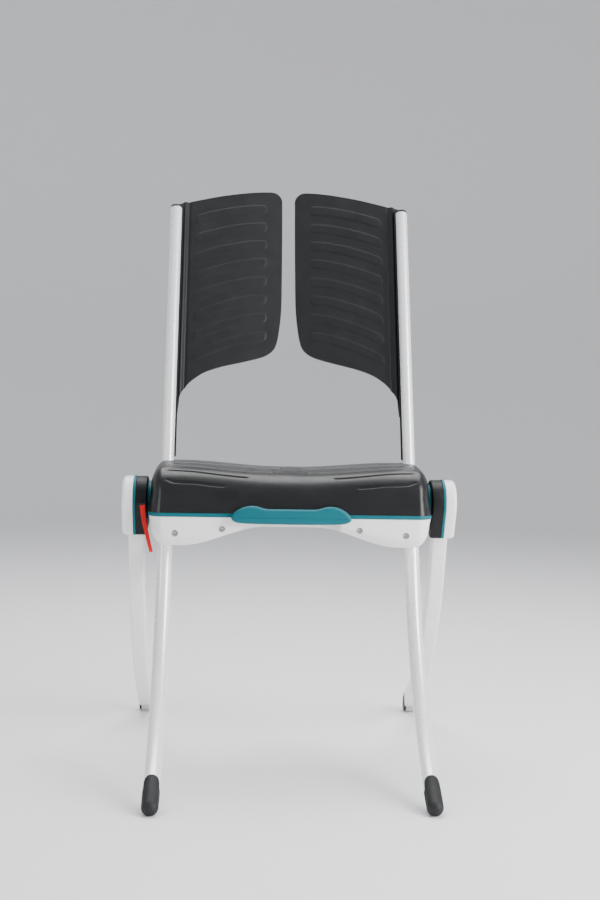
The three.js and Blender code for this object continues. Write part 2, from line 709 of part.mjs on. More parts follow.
// The panel's sheet and the channel that clips it round the back of its tube.
function backPanel() {
  const sheet = upTheLine(panelSection(), 150, 745, 6);
  const frontView = new THREE.ExtrudeGeometry(panelOutline(), plain(120, 6)).translate(0, 0, -90);
  const channel = tubeRing(SLEEVE_R, BACK_TUBE_R + FIT, SLEEVE_END - SLEEVE_START, SLEEVE_START, 24);
  channel.translate(TUBE_X, 0, 0);
  const mouth = new THREE.Shape([
    new THREE.Vector2(TUBE_X, 0), new THREE.Vector2(TUBE_X - 40, -12), new THREE.Vector2(TUBE_X - 40, -60),
    new THREE.Vector2(TUBE_X + 60, -60), new THREE.Vector2(TUBE_X + 60, 36),
  ]);
  const clip = cut(channel, upTheLine(mouth, 0, 800, 1));
  const bore = new THREE.CylinderGeometry(BACK_TUBE_R + FIT, BACK_TUBE_R + FIT, 800, 24);
  bore.translate(TUBE_X, 400, 0);
  return cut(join(overlap(sheet, frontView), clip), bore);
}

function backTube() {
  return tubeRing(BACK_TUBE_R, BACK_TUBE_R - TUBE_WALL, BACK_TUBE_TOP - 9, 9, 20).translate(TUBE_X, 0, 0);
}

function tubeCap() {
  const profile = [
    [0, BACK_TUBE_TOP - 14], [9.5, BACK_TUBE_TOP - 14], [10.2, BACK_TUBE_TOP - 12],
    [10.2, BACK_TUBE_TOP + FIT], [BACK_TUBE_R, BACK_TUBE_TOP + FIT], [BACK_TUBE_R, BACK_TUBE_TOP + 4],
    [9, BACK_TUBE_TOP + 7], [0, BACK_TUBE_TOP + 8],
  ];
  const points = profile.map(([radius, y]) => new THREE.Vector2(radius, y));
  return new THREE.LatheGeometry(points, 14).translate(TUBE_X, 0, 0);
}

// ---------------------------------------------------------------- small pieces
const STRAP_Y = -130;
const STRAP_ROUTE = [[-292, 514], [-290, 500], [-286, 480], [-281, 458], [-276, 438], [-273, 424]];

function strapPeg() {
  return join(
    rodX(-299, -SEAT_HALF - 1.5, 2.5, STRAP_Y, 518, 12),
    rodX(-301, -298, 4.5, STRAP_Y, 518, 12),
  );
}

// Flat webbing hanging below its peg, seen from the front as a narrowing ribbon.
function pullStrap() {
  const route = new THREE.CatmullRomCurve3(STRAP_ROUTE.map(([x, z]) => new THREE.Vector3(x, z, 0)));
  const steps = 12;
  const left = [];
  const right = [];
  for (let k = 0; k <= steps; k += 1) {
    const middle = route.getPointAt(k / steps);
    const along = route.getTangentAt(k / steps);
    const half = 5 - 1.8 * k / steps;
    left.push(new THREE.Vector2(middle.x - along.y * half, middle.y + along.x * half));
    right.unshift(new THREE.Vector2(middle.x + along.y * half, middle.y - along.x * half));
  }
  return alongY(new THREE.Shape([...left, ...right]), STRAP_Y - 0.7, STRAP_Y + 0.7);
}

function shellScrew(x, z) {
  const head = rodY(SEAT_FRONT + 9, SEAT_FRONT + 12, 5, x, z, 12);
  return join(head, rodY(SEAT_FRONT + 11, SEAT_FRONT + 24, 2.5, x, z, 10));
}

const button = (x) => rodY(SEAT_REAR - 4, SEAT_REAR + 5, 7.5, x, PAD_Z, 16);

// ---------------------------------------------------------------- assembly
const chair = new THREE.Group();
chair.position.y = -FOOTPRINT_CENTRE_Y;
const tubeLine = new THREE.Group();
tubeLine.applyMatrix4(leanMatrix);
chair.add(tubeLine);

function place(name, geometry, material, parent = chair) {
  const mesh = new THREE.Mesh(geometry, material);
  mesh.name = name;
  parent.add(mesh);
}

function placePair(name, geometry, material, parent = chair) {
  place(`${name}_right`, geometry, material, parent);
  place(`${name}_left`, mirrored(geometry), material, parent);
}

place('seat_cover', seatCover(), charcoal);
place('lower_shell', lowerShell(), whitePlastic);
place('trim_front', trimStrip(true), teal);
place('trim_rear', trimStrip(false), teal);
place('carry_handle', carryHandle(), teal);
SHELL_SCREWS.forEach(([x, z], k) => {
  placePair(['shell_screw_outer', 'shell_screw_inner'][k], shellScrew(x, z), steel);
});
placePair('boss_ring', bossRing(), teal);
placePair('hub_bearing', bearing(), steel);
placePair('side_plate', sidePlate(), steel);
placePair('leg_socket', socketTube().translate(TUBE_X, 0, 0), steel, tubeLine);
place('front_rail', block(-268.3, 268.3, -118, -103, 488, 514), steel);
place('rear_rail', block(-268.3, 268.3, 12, 26, 488, 514), steel);
place('battery_pack', batteryPack(), blackPlastic);
place('control_board', controlBoard(), boardGreen);
place('gear_motor', gearMotor(), steel);
place('control_pad', controlPad(), blackPlastic);
place('charge_port', chargePort(), blackPlastic);
place('up_button', button(PAD_X - BUTTON_GAP), teal);
place('down_button', button(PAD_X + BUTTON_GAP), whitePlastic);
placePair('backrest_latch', latchKnob(LATCHES.backrest), blackPlastic);
placePair('front_leg_latch', latchKnob(LATCHES.front_leg), blackPlastic);
place('strap_peg', strapPeg(), steel);
place('pull_strap', pullStrap(), redWebbing);

place('lift_shaft', rodX(-299, 299, SHAFT_R, HUB_Y, HUB_Z, 24), steel);
place('sector_gear', sectorGear(), steel);
place('motor_pinion', motorPinion(), steel);
placePair('arm_housing', armHousing(), blackPlastic);
placePair('arm_band', armBand(), teal);
placePair('arm_cap', armCap(), whitePlastic);

placePair('rear_leg', rearLeg(), whitePlastic);
placePair('wheel_fork', wheelFork(), blackPlastic);
placePair('wheel_axle', wheelAxle(), steel);
placePair('rear_wheel', wheel(), wheelGrey);

placePair('front_leg_tube', frontLegTube(), paintedTube);
placePair('front_shoe', frontShoe(), rubber);

placePair('back_tube', backTube(), paintedTube, tubeLine);
placePair('back_panel', backPanel(), panelGrey, tubeLine);
placePair('tube_cap', tubeCap(), blackPlastic, tubeLine);

export default chair;
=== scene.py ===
import math

import bpy
from mathutils import Matrix, Vector


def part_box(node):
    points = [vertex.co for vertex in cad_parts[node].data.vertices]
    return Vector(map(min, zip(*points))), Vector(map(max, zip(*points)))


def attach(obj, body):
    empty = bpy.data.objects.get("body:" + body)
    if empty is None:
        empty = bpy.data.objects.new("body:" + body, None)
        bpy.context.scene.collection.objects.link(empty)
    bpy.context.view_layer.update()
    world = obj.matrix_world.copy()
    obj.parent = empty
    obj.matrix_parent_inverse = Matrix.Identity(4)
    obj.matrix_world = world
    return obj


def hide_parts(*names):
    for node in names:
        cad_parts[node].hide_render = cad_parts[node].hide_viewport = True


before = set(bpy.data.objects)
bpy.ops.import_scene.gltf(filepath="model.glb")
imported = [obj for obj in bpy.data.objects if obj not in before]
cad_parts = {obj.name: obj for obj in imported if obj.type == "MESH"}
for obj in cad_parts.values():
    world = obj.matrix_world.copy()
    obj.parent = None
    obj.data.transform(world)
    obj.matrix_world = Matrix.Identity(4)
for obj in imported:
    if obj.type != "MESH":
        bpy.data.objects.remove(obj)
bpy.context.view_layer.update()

# ---------------------------------------------------------------- camera, floor and light
# A plain studio: one long lens a little above the seat and left of the middle, a round pale floor
# that curves up into a wall on all sides, a large soft key on the right, a weaker fill on the left
# and a broad light overhead.
camera_at = Vector((-0.1094, -2.5369, 0.7182))
yaw, pitch, roll = (math.radians(a) for a in (2.92, 2.07, 1.01))
look = Vector((math.sin(yaw) * math.cos(pitch), math.cos(yaw) * math.cos(pitch), -math.sin(pitch)))
level_right = look.cross(Vector((0, 0, 1))).normalized()
level_up = level_right.cross(look)
right = level_right * math.cos(roll) + level_up * math.sin(roll)
up = right.cross(look)
bpy.ops.object.select_all(action="DESELECT")
bpy.ops.object.camera_add()
camera = bpy.context.object
camera.data.lens = 50
camera.data.sensor_width = 36
camera.matrix_world = Matrix.Translation(camera_at) @ Matrix((right, up, -look)).transposed().to_4x4()
bpy.context.scene.camera = camera

FLOOR_FLAT = 5.0
FLOOR_BEND = 2.5
FLOOR_WALL = 4.0
bpy.ops.mesh.primitive_grid_add(x_subdivisions=72, y_subdivisions=40, size=2)
floor = bpy.context.object
floor.name = "studio_floor"
for corner in floor.data.vertices:
    turn = (corner.co.x + 1) * math.pi
    run = (corner.co.y + 1) / 2 * (FLOOR_FLAT + FLOOR_BEND * math.pi / 2 + FLOOR_WALL)
    bend = max(0.0, min(math.pi / 2, (run - FLOOR_FLAT) / FLOOR_BEND))
    reach = min(run, FLOOR_FLAT) + FLOOR_BEND * math.sin(bend)
    height = FLOOR_BEND * (1 - math.cos(bend)) + max(0.0, run - FLOOR_FLAT - FLOOR_BEND * math.pi / 2)
    corner.co = (reach * math.cos(turn), reach * math.sin(turn), height)
bpy.ops.object.mode_set(mode="EDIT")
bpy.ops.mesh.select_all(action="SELECT")
bpy.ops.mesh.remove_doubles(threshold=1e-4)
bpy.ops.object.mode_set(mode="OBJECT")
bpy.ops.object.shade_smooth()
floor_paint = bpy.data.materials.new("pale_floor")
floor_paint.use_nodes = True
paint = floor_paint.node_tree.nodes["Principled BSDF"]
paint.inputs["Base Color"].default_value = (0.82, 0.82, 0.83, 1)
paint.inputs["Roughness"].default_value = 0.7
floor.data.materials.append(floor_paint)


def soft_light(name, place, target, width, height, power):
    bpy.ops.object.select_all(action="DESELECT")
    bpy.ops.object.light_add(type="AREA", location=place)
    light = bpy.context.object
    light.name = name
    light.data.shape = "RECTANGLE"
    light.data.size = width
    light.data.size_y = height
    light.data.energy = power
    light.rotation_euler = (Vector(target) - Vector(place)).to_track_quat("-Z", "Y").to_euler()
    return light


soft_light("key_light", (2.2, -1.5, 1.5), (0, 0, 0.6), 1.2, 2.6, 150)
soft_light("fill_light", (-2.6, -1.9, 1.3), (0, 0, 0.6), 1.2, 2.2, 30)
soft_light("top_light", (0.1, 0.9, 3.2), (0, 0, 0.5), 3.0, 2.0, 140)
world = bpy.data.worlds.new("studio_air")
world.use_nodes = True
world.node_tree.nodes["Background"].inputs["Color"].default_value = (0.92, 0.94, 1.0, 1)
world.node_tree.nodes["Background"].inputs["Strength"].default_value = 0.60
bpy.context.scene.world = world

# ---------------------------------------------------------------- pull strap
# A short tail of flat red polyester webbing, heat-cut at its end, sewn round a steel pin beside
# the seat's front corner. It hangs free and is pulled by hand to release the rear leg's latch.
STRAP_Y = -0.0755
STRAP_ROUTE = [
    (-0.2920, 0.5160), (-0.2915, 0.5110), (-0.2908, 0.5040), (-0.2899, 0.4970), (-0.2889, 0.4900),
    (-0.2877, 0.4830), (-0.2863, 0.4760), (-0.2847, 0.4690), (-0.2830, 0.4620), (-0.2813, 0.4550),
    (-0.2796, 0.4480), (-0.2779, 0.4410), (-0.2761, 0.4340), (-0.2742, 0.4270), (-0.2733, 0.4237),
]
STRAP_WIDTH = 0.010
STRAP_THICK = 0.0014
STRAP_NARROWING = 0.34            # how much of its width the tail loses on the way down
PIN_R = 0.0014
PIN_LENGTH = 0.0125
PIN_MIDDLE = (-0.2918, STRAP_Y, 0.5175)


def lay_grid(name, columns, rows, place):
    """A grid whose points are put where place(across, along), each from 0 to 1, says."""
    bpy.ops.object.select_all(action="DESELECT")
    bpy.ops.mesh.primitive_grid_add(x_subdivisions=columns, y_subdivisions=rows, size=2)
    piece = bpy.context.object
    piece.name = name
    for corner in piece.data.vertices:
        corner.co = place((corner.co.x + 1) / 2, (corner.co.y + 1) / 2)
    return piece


def alone(piece):
    bpy.ops.object.select_all(action="DESELECT")
    piece.select_set(True)
    bpy.context.view_layer.objects.active = piece


def modify(piece, kind, **settings):
    alone(piece)
    modifier = piece.modifiers.new(kind.lower(), kind)
    for key, value in settings.items():
        setattr(modifier, key, value)
    bpy.ops.object.modifier_apply(modifier=modifier.name)


def close_up(piece, fill=False):
    """Merges what meets, closes open ends if asked, and turns every face outwards."""
    alone(piece)
    bpy.ops.object.mode_set(mode="EDIT")
    bpy.ops.mesh.select_all(action="SELECT")
    bpy.ops.mesh.remove_doubles(threshold=2e-6)
    if fill:
        bpy.ops.mesh.fill_holes(sides=0)
    bpy.ops.mesh.select_all(action="SELECT")
    bpy.ops.mesh.normals_make_consistent(inside=False)
    bpy.ops.object.mode_set(mode="OBJECT")


def smooth(piece, degrees=35):
    alone(piece)
    bpy.ops.object.shade_smooth_by_angle(angle=math.radians(degrees))


def route_at(points, share):
    """The point and heading at a share of the way along a list of evenly spaced points."""
    place = share * (len(points) - 1)
    k = min(int(place), len(points) - 2)
    here, there = Vector(points[k]), Vector(points[k + 1])
    return here.lerp(there, place - k), (there - here).normalized()


def strap_point(across, along):
    middle, heading = route_at(STRAP_ROUTE, along)
    side = Vector((-heading.y, heading.x))
    half = STRAP_WIDTH / 2 * (1 - STRAP_NARROWING * along)
    spot = middle + side * (across - 0.5) * 2 * half
    ripple = 0.0006 * math.sin(along * 9) * (along - 0.05)
    return Vector((spot.x, STRAP_Y + ripple, spot.y))


strap = lay_grid("red_pull_strap", 16, 90, strap_point)
modify(strap, "SOLIDIFY", thickness=STRAP_THICK, offset=0)
modify(strap, "BEVEL", width=0.0004, segments=2, limit_method="ANGLE")
close_up(strap)
smooth(strap)


def shade(name, colour, roughness, metallic=0.0):
    """A new material and its shader, with the values that are the same all over."""
    material = bpy.data.materials.new(name)
    material.use_nodes = True
    shader = material.node_tree.nodes["Principled BSDF"]
    shader.inputs["Base Color"].default_value = (*colour, 1)
    shader.inputs["Roughness"].default_value = roughness
    shader.inputs["Metallic"].default_value = metallic
    return material, shader


def add(material, kind, **sockets):
    node = material.node_tree.nodes.new(kind)
    for key, value in sockets.items():
        node.inputs[key.replace("_", " ")].default_value = value
    return node


def link(material, start, end):
    material.node_tree.links.new(start, end)


def mottle(material, shader, scale, dark, light, target="Base Color"):
    """Runs a value between two ends over the piece by a cloudy noise."""
    place = add(material, "ShaderNodeTexCoord")
    noise = add(material, "ShaderNodeTexNoise", Scale=scale, Detail=5.0, Roughness=0.6)
    ramp = add(material, "ShaderNodeValToRGB")
    ends = [(v, v, v) if isinstance(v, float) else v for v in (dark, light)]
    ramp.color_ramp.elements[0].position = 0.3
    ramp.color_ramp.elements[1].position = 0.7
    ramp.color_ramp.elements[0].color = (*ends[0], 1)
    ramp.color_ramp.elements[1].color = (*ends[1], 1)
    link(material, place.outputs["Object"], noise.inputs["Vector"])
    link(material, noise.outputs["Fac"], ramp.inputs["Fac"])
    link(material, ramp.outputs["Color"], shader.inputs[target])


def grain(material, shader, scale, depth, strength=0.5):
    """Raises the surface by a fine grain of that scale and depth in metres."""
    place = add(material, "ShaderNodeTexCoord")
    noise = add(material, "ShaderNodeTexNoise", Scale=scale)
    bump = add(material, "ShaderNodeBump", Strength=strength, Distance=depth)
    link(material, place.outputs["Object"], noise.inputs["Vector"])
    link(material, noise.outputs["Fac"], bump.inputs["Height"])
    link(material, bump.outputs["Normal"], shader.inputs["Normal"])


def webbing(name, colour):
    material, shader = shade(name, colour, 0.75)
    shader.inputs["Sheen Weight"].default_value = 0.15
    shader.inputs["Specular IOR Level"].default_value = 0.25
    place = add(material, "ShaderNodeTexCoord")
    waves = [add(material, "ShaderNodeTexWave", Scale=s, Distortion=0.4) for s in (260.0, 330.0)]
    waves[0].bands_direction = "X"
    waves[1].bands_direction = "Z"
    weave = add(material, "ShaderNodeMath")
    weave.operation = "MULTIPLY"
    for k, wave in enumerate(waves):
        link(material, place.outputs["Object"], wave.inputs["Vector"])
        link(material, wave.outputs["Fac"], weave.inputs[k])
    bump = add(material, "ShaderNodeBump", Strength=0.6, Distance=0.0004)
    link(material, weave.outputs[0], bump.inputs["Height"])
    link(material, bump.outputs["Normal"], shader.inputs["Normal"])
    tint = add(material, "ShaderNodeValToRGB")
    tint.color_ramp.elements[0].color = (*(c * 0.7 for c in colour), 1)
    tint.color_ramp.elements[1].color = (*colour, 1)
    link(material, weave.outputs[0], tint.inputs["Fac"])
    link(material, tint.outputs["Color"], shader.inputs["Base Color"])
    return material


strap.data.materials.append(webbing("red_webbing", (0.66, 0.001, 0.003)))
strap_path = [(x, STRAP_Y, z) for x, z in STRAP_ROUTE]
strap_length = sum(math.dist(a, b) for a, b in zip(strap_path, strap_path[1:]))
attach(strap, "seat_unit")
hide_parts("pull_strap")

bpy.ops.object.select_all(action="DESELECT")
bpy.ops.mesh.primitive_cylinder_add(
    vertices=24, radius=PIN_R, depth=PIN_LENGTH, location=PIN_MIDDLE, rotation=(0, math.pi / 2, 0),
)
peg = bpy.context.object
peg.name = "strap_pin"
bpy.ops.object.transform_apply(location=True, rotation=True, scale=True)
modify(peg, "BEVEL", width=0.0004, segments=2, limit_method="ANGLE")
close_up(peg)
smooth(peg)


def bright_steel(name, colour=(0.42, 0.43, 0.44), roughness=0.34):
    """Turned and zinc-plated steel, with a fine haze of tool marks."""
    material, shader = shade(name, colour, roughness, metallic=0.92)
    mottle(material, shader, 60.0, roughness - 0.1, roughness + 0.12, "Roughness")
    grain(material, shader, 1800.0, 0.00003, 0.35)
    return material


peg.data.materials.append(bright_steel("blackened_steel", (0.03, 0.03, 0.032), 0.45))
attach(peg, "seat_unit")
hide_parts("strap_peg")

# ---------------------------------------------------------------- seat cover
# The padded-looking top half of the seat unit: one charcoal moulding, 3 mm thick, with a dished
# middle and rounded shoulders. Shallow grip channels fan out across it on either side.
SEAT_MIDDLE = 0.0545
SHELL_WALL = 0.003
PLAN = {
    "half": 0.277, "front": SEAT_MIDDLE - 0.1525, "rear": SEAT_MIDDLE + 0.0460,
    "side_round": 0.026, "front_round": 0.056, "rear_round": 0.028,
}
RIM_PLAN = dict(PLAN, front_round=0.034)
TRIM_LOW = 0.496
TRIM_HIGH = 0.504
SHOULDER = 0.90                   # how far round its shoulder the top's own grid reaches
LEAST_FRONT_ROWS = 14


def ease(start, end, value):
    share = max(0.0, min(1.0, (value - start) / (end - start)))
    return share * share * (3 - 2 * share)


def shoulder_shares(plan, x, y):
    """How far past the flat of the top a point is, sideways and then forwards or back."""
    side = max(0.0, 1 - (plan["half"] - abs(x)) / plan["side_round"])
    front = max(0.0, 1 - (y - plan["front"]) / plan["front_round"])
    rear = max(0.0, 1 - (plan["rear"] - y) / plan["rear_round"])
    return side, front, rear


def plan_point(plan, x, y, side, front, rear):
    """The inverse of shoulder_shares, for the directions in which a share isn't zero."""
    if side > 0:
        x = math.copysign(plan["half"] - plan["side_round"] * (1 - side), x)
    if front > 0:
        y = plan["front"] + plan["front_round"] * (1 - front)
    if rear > 0:
        y = plan["rear"] - plan["rear_round"] * (1 - rear)
    return x, y


def shoulder_drop(plan, drops, x, y):
    side, front, rear = shoulder_shares(plan, x, y)
    total = side * side + front * front + rear * rear
    if total < 1e-12:
        return 0.0
    depth = (side * side * drops[0] + front * front * drops[1](x) + rear * rear * drops[2]) / total
    return depth * (1 - math.sqrt(max(0.0, 1 - total)))


def plan_rows(plan, fine):
    """(y, half width) of the grid's rows, front to rear; fine is their spacing on the flat."""
    rows = []
    front_rows = max(LEAST_FRONT_ROWS, round(1.3 * plan["front_round"] / fine))
    for k in range(front_rows):
        turn = math.pi / 2 * (1 - k / front_rows)
        y = plan["front"] + plan["front_round"] * (1 - SHOULDER * math.sin(turn))
        rows.append((y, plan["half"] - plan["side_round"] * (1 - SHOULDER * math.cos(turn))))
    flat_start = plan["front"] + plan["front_round"]
    flat_end = plan["rear"] - plan["rear_round"]
    wide = plan["half"] - plan["side_round"] * (1 - SHOULDER)
    steps = int((flat_end - flat_start) / fine)
    rows += [(flat_start + (flat_end - flat_start) * k / steps, wide) for k in range(steps)]
    for k in range(11):
        turn = math.pi / 2 * k / 10
        y = plan["rear"] - plan["rear_round"] * (1 - SHOULDER * math.sin(turn))
        rows.append((y, plan["half"] - plan["side_round"] * (1 - SHOULDER * math.cos(turn))))
    return rows


def grow_rim(piece, move):
    """Extrudes the open edge of a sheet and moves each new corner by move(corner)."""
    alone(piece)
    bpy.ops.object.mode_set(mode="EDIT")
    bpy.ops.mesh.select_all(action="DESELECT")
    bpy.ops.mesh.select_mode(type="EDGE")
    bpy.ops.mesh.select_non_manifold(extend=False)
    bpy.ops.mesh.extrude_edges_move(TRANSFORM_OT_translate={"value": (0, 0, 0)})
    bpy.ops.object.mode_set(mode="OBJECT")
    for corner in piece.data.vertices:
        if corner.select:
            corner.co = move(corner.co)


def pillow(name, plan, rim_plan, columns, fine, height, drops, rim, flare, sign=1):
    """A shell with a shaped top: a grid, shoulders rolled down from it, then walls to the rim."""
    rows = plan_rows(plan, fine)

    def top(across, along):
        y, half = rows[round(along * (len(rows) - 1))]
        x = (2 * across - 1) * half
        return Vector((x, y, height(x, y) - sign * shoulder_drop(plan, drops, x, y)))

    piece = lay_grid(name, columns, len(rows) - 1, top)
    start = math.asin(SHOULDER)
    turns = [start + (math.pi / 2 - start) * k / 7 for k in range(8)]
    for now, then in zip(turns, turns[1:]):
        grown = math.sin(then) / math.sin(now)

        def roll(place, grown=grown):
            shares = [share * grown for share in shoulder_shares(plan, place.x, place.y)]
            x, y = plan_point(plan, place.x, place.y, *shares)
            return Vector((x, y, height(x, y) - sign * shoulder_drop(plan, drops, x, y)))

        grow_rim(piece, roll)

    def fall(place):
        side, front, rear = shoulder_shares(plan, place.x, place.y)
        x, y = plan_point(rim_plan, place.x, place.y, side, front, rear)
        return Vector((x + math.copysign(flare * side, x), y + flare * (rear - front), rim))

    grow_rim(piece, fall)
    return piece


# Each channel's half width, and its line out from the middle, with y from the seat's middle.
CHANNELS = [
    (0.0078, [
        (0.236, -0.044), (0.190, -0.052), (0.150, -0.048), (0.104, -0.042), (0.070, -0.041), (0.022, -0.043),
    ]),
    (0.0058, [
        (0.240, -0.088), (0.190, -0.094), (0.155, -0.098), (0.124, -0.099), (0.082, -0.098), (0.038, -0.097),
    ]),
    (0.0032, [
        (0.243, -0.119), (0.190, -0.122), (0.165, -0.124), (0.146, -0.125), (0.103, -0.126), (0.086, -0.125),
    ]),
    (0.0025, [
        (0.243, -0.138), (0.234, -0.141), (0.210, -0.142), (0.187, -0.142), (0.156, -0.143), (0.133, -0.143),
    ]),
]
CHANNEL_DEPTH = 0.0024
CHANNEL_FULL_HALF = 0.004         # a channel narrower than this is shallower in proportion
COVER_TOP = 0.600
DISH_DEPTH = 0.011
DISH_EDGE = (0.020, 0.218)
FRONT_FALL = 0.8                  # the top's drop forward of the middle, per metre squared


def channel_depth(x, y):
    """Depth of the nearest grip channel below the cover's top at a point."""
    depth = 0.0
    for half, channel in CHANNELS:
        for (x0, y0), (x1, y1) in zip(channel, channel[1:]):
            y0, y1 = y0 + SEAT_MIDDLE, y1 + SEAT_MIDDLE
            run = Vector((x1 - x0, y1 - y0))
            share = Vector((abs(x) - x0, y - y0)).dot(run) / run.length_squared
            share = max(0.0, min(1.0, share))
            gap = math.hypot(abs(x) - x0 - run.x * share, y - y0 - run.y * share)
            deepest = CHANNEL_DEPTH * min(1.0, half / CHANNEL_FULL_HALF)
            depth = max(depth, deepest * (1 - ease(half * 0.45, half, gap)))
    return depth


def cover_top(x, y):
    forward = min(0.0, y - SEAT_MIDDLE)
    dish = DISH_DEPTH * (1 - ease(*DISH_EDGE, abs(x)))
    return COVER_TOP - dish - FRONT_FALL * forward * forward - channel_depth(x, y)


def cut_away(piece, *cutters, operation="DIFFERENCE"):
    for cutter in cutters:
        modify(piece, "BOOLEAN", object=cutter, operation=operation, solver="MANIFOLD")
        bpy.data.objects.remove(cutter)
    piece.data.materials.clear()


def rod(name, start, end, radius, sides=48, end_radius=None):
    """A plain round bar or taper, for cutting holes and as the start of turned pieces."""
    start, end = Vector(start), Vector(end)
    axis = end - start
    bpy.ops.object.select_all(action="DESELECT")
    bpy.ops.mesh.primitive_cone_add(
        vertices=sides, radius1=radius, radius2=radius if end_radius is None else end_radius,
        depth=axis.length, location=(start + end) / 2, rotation=axis.to_track_quat("Z", "Y").to_euler(),
    )
    piece = bpy.context.object
    piece.name = name
    bpy.ops.object.transform_apply(location=True, rotation=True, scale=True)
    return piece


TUBE_X = 0.250
LEAN = math.radians(20.8)
UP_LINE = Vector((0, math.sin(LEAN), math.cos(LEAN)))
BEHIND_LINE = Vector((0, math.cos(LEAN), -math.sin(LEAN)))
LINE_START = Vector((0, 0.020, 0.523))


def on_line(x, along, behind=0.0):
    """A point in the tubes' own frame: across, up the tube line, and behind it."""
    return LINE_START + Vector((x, 0, 0)) + UP_LINE * along + BEHIND_LINE * behind


HUB = (Vector(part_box("lift_shaft")[0]) + Vector(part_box("lift_shaft")[1])) / 2
BOSS_R = 0.038
BOSS_HOLE_R = BOSS_R + 0.0004
PAD = Vector((0.140, 0, 0.540))
KEY_GAP = 0.013
PULL_HOLE_R = 0.0045
UPPER_PULL_Z = 0.565
LOWER_PULL_Z = 0.478


def across_hub(side, near, far, radius, sides=64):
    """A rod along the lift shaft's line, for the holes round it on one side."""
    start, end = (HUB + Vector((side * x, 0, 0)) for x in (near, far))
    return rod("hub_cut", start, end, radius, sides)


def through_back(x, z, radius, sides=24):
    return rod("back_cut", (x, 0.092, z), (x, 0.110, z), radius, sides)


cover = pillow(
    "charcoal_seat_cover", PLAN, RIM_PLAN, 130, 0.0010, cover_top, (0.038, lambda x: 0.050, 0.032),
    rim=TRIM_HIGH, flare=0.004,
)
modify(cover, "SOLIDIFY", thickness=SHELL_WALL, offset=-1)
close_up(cover)
for side in (-1, 1):
    cut_away(
        cover,
        across_hub(side, 0.266, 0.300, BOSS_HOLE_R),
        rod("tube_cut", on_line(side * TUBE_X, 0.045), on_line(side * TUBE_X, 0.125), 0.0134),
        through_back(side * TUBE_X, UPPER_PULL_Z, PULL_HOLE_R),
        through_back(PAD.x + side * KEY_GAP, PAD.z, 0.0085),
    )
smooth(cover, 32)


def moulded(name, colour, roughness, spark=900.0, depth=0.00006, mottled=0.12, coat=0.0, shine=0.5):
    """Injection-moulded plastic: an even colour with a spark-eroded grain and faint scuffs."""
    material, shader = shade(name, colour, roughness)
    shader.inputs["Specular IOR Level"].default_value = shine
    shader.inputs["Coat Weight"].default_value = coat
    shader.inputs["Coat Roughness"].default_value = 0.2
    darker = tuple(c * (1 - mottled) for c in colour)
    mottle(material, shader, 9.0, darker, colour)
    mottle(material, shader, 35.0, roughness - 0.05, roughness + 0.07, "Roughness")
    grain(material, shader, spark, depth, 0.5)
    return material


def paint_channel_shade(piece, material, shader):
    """Painted shade in the grip channels: the base colour is darkened towards near black by the piece's own
    channel attribute, most where a channel is deepest.
    """
    shadow = piece.data.attributes.new("channel", "FLOAT", "POINT")
    for k, corner in enumerate(piece.data.vertices):
        if corner.co.z > 0.545:
            shadow.data[k].value = min(1.0, channel_depth(corner.co.x, corner.co.y) / CHANNEL_DEPTH)
    held = shader.inputs["Base Color"].links[0].from_socket
    read = add(material, "ShaderNodeAttribute")
    read.attribute_name = "channel"
    mix = add(material, "ShaderNodeMixRGB", Color2=(0.002, 0.002, 0.002, 1))
    link(material, read.outputs["Fac"], mix.inputs["Fac"])
    link(material, held, mix.inputs["Color1"])
    link(material, mix.outputs["Color"], shader.inputs["Base Color"])


charcoal = moulded("charcoal_soft_touch", (0.0065, 0.0068, 0.0074), 0.33, coat=0.10, shine=0.34)
# Painted shade: the cover's grip channels are darkened in its colour.
paint_channel_shade(cover, charcoal, charcoal.node_tree.nodes["Principled BSDF"])
cover.data.materials.append(charcoal)
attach(cover, "seat_unit")
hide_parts("seat_cover")

# ---------------------------------------------------------------- lower shell
# The white lower half of the seat unit, screwed up to the cover from the front: a tub with two
# deep lobes over the leg sockets, an arched middle, and a hand recess behind the carry handle.
RECESS_HALF = 0.098
RECESS_BACK = SEAT_MIDDLE - 0.128
RECESS_TOP = 0.492
SHELL_SCREWS = [(0.227, 0.463), (0.135, 0.472)]
SHELL_PLAN = dict(PLAN, front_round=0.034, side_round=0.030)
SHELL_DROPS_SIDE = 0.045
SHELL_DROPS_REAR = 0.040
RECESS_FRONT = -0.140
BELOW_SHELL = 0.400
SCREW_BORE_R = 0.0053
ARCH_Z = 0.476
LOBE_DEPTH = 0.039


def shell_bottom(x, y):
    """The height of the bottom: an arch in the middle, and a lobe on each side."""
    return ARCH_Z - LOBE_DEPTH * ease(0.050, 0.215, abs(x))


def inside_plan(plan, wall):
    smaller = dict(plan)
    smaller["half"] -= wall
    smaller["front"] += wall
    smaller["rear"] -= wall
    return smaller


def front_roll(x):
    """How far the front edge rounds up from the bottom: little in the arch, more at the lobes."""
    return 0.009 + 0.021 * ease(0.050, 0.200, abs(x))


def block(name, low, high, round_off=0.0, segments=3):
    """A block between two corners, its edges rounded if asked."""
    low, high = Vector(low), Vector(high)
    bpy.ops.object.select_all(action="DESELECT")
    bpy.ops.mesh.primitive_cube_add(size=1, location=(low + high) / 2, scale=high - low)
    piece = bpy.context.object
    piece.name = name
    bpy.ops.object.transform_apply(location=True, rotation=True, scale=True)
    if round_off:
        modify(piece, "BEVEL", width=round_off, segments=segments, limit_method="ANGLE")
    return piece


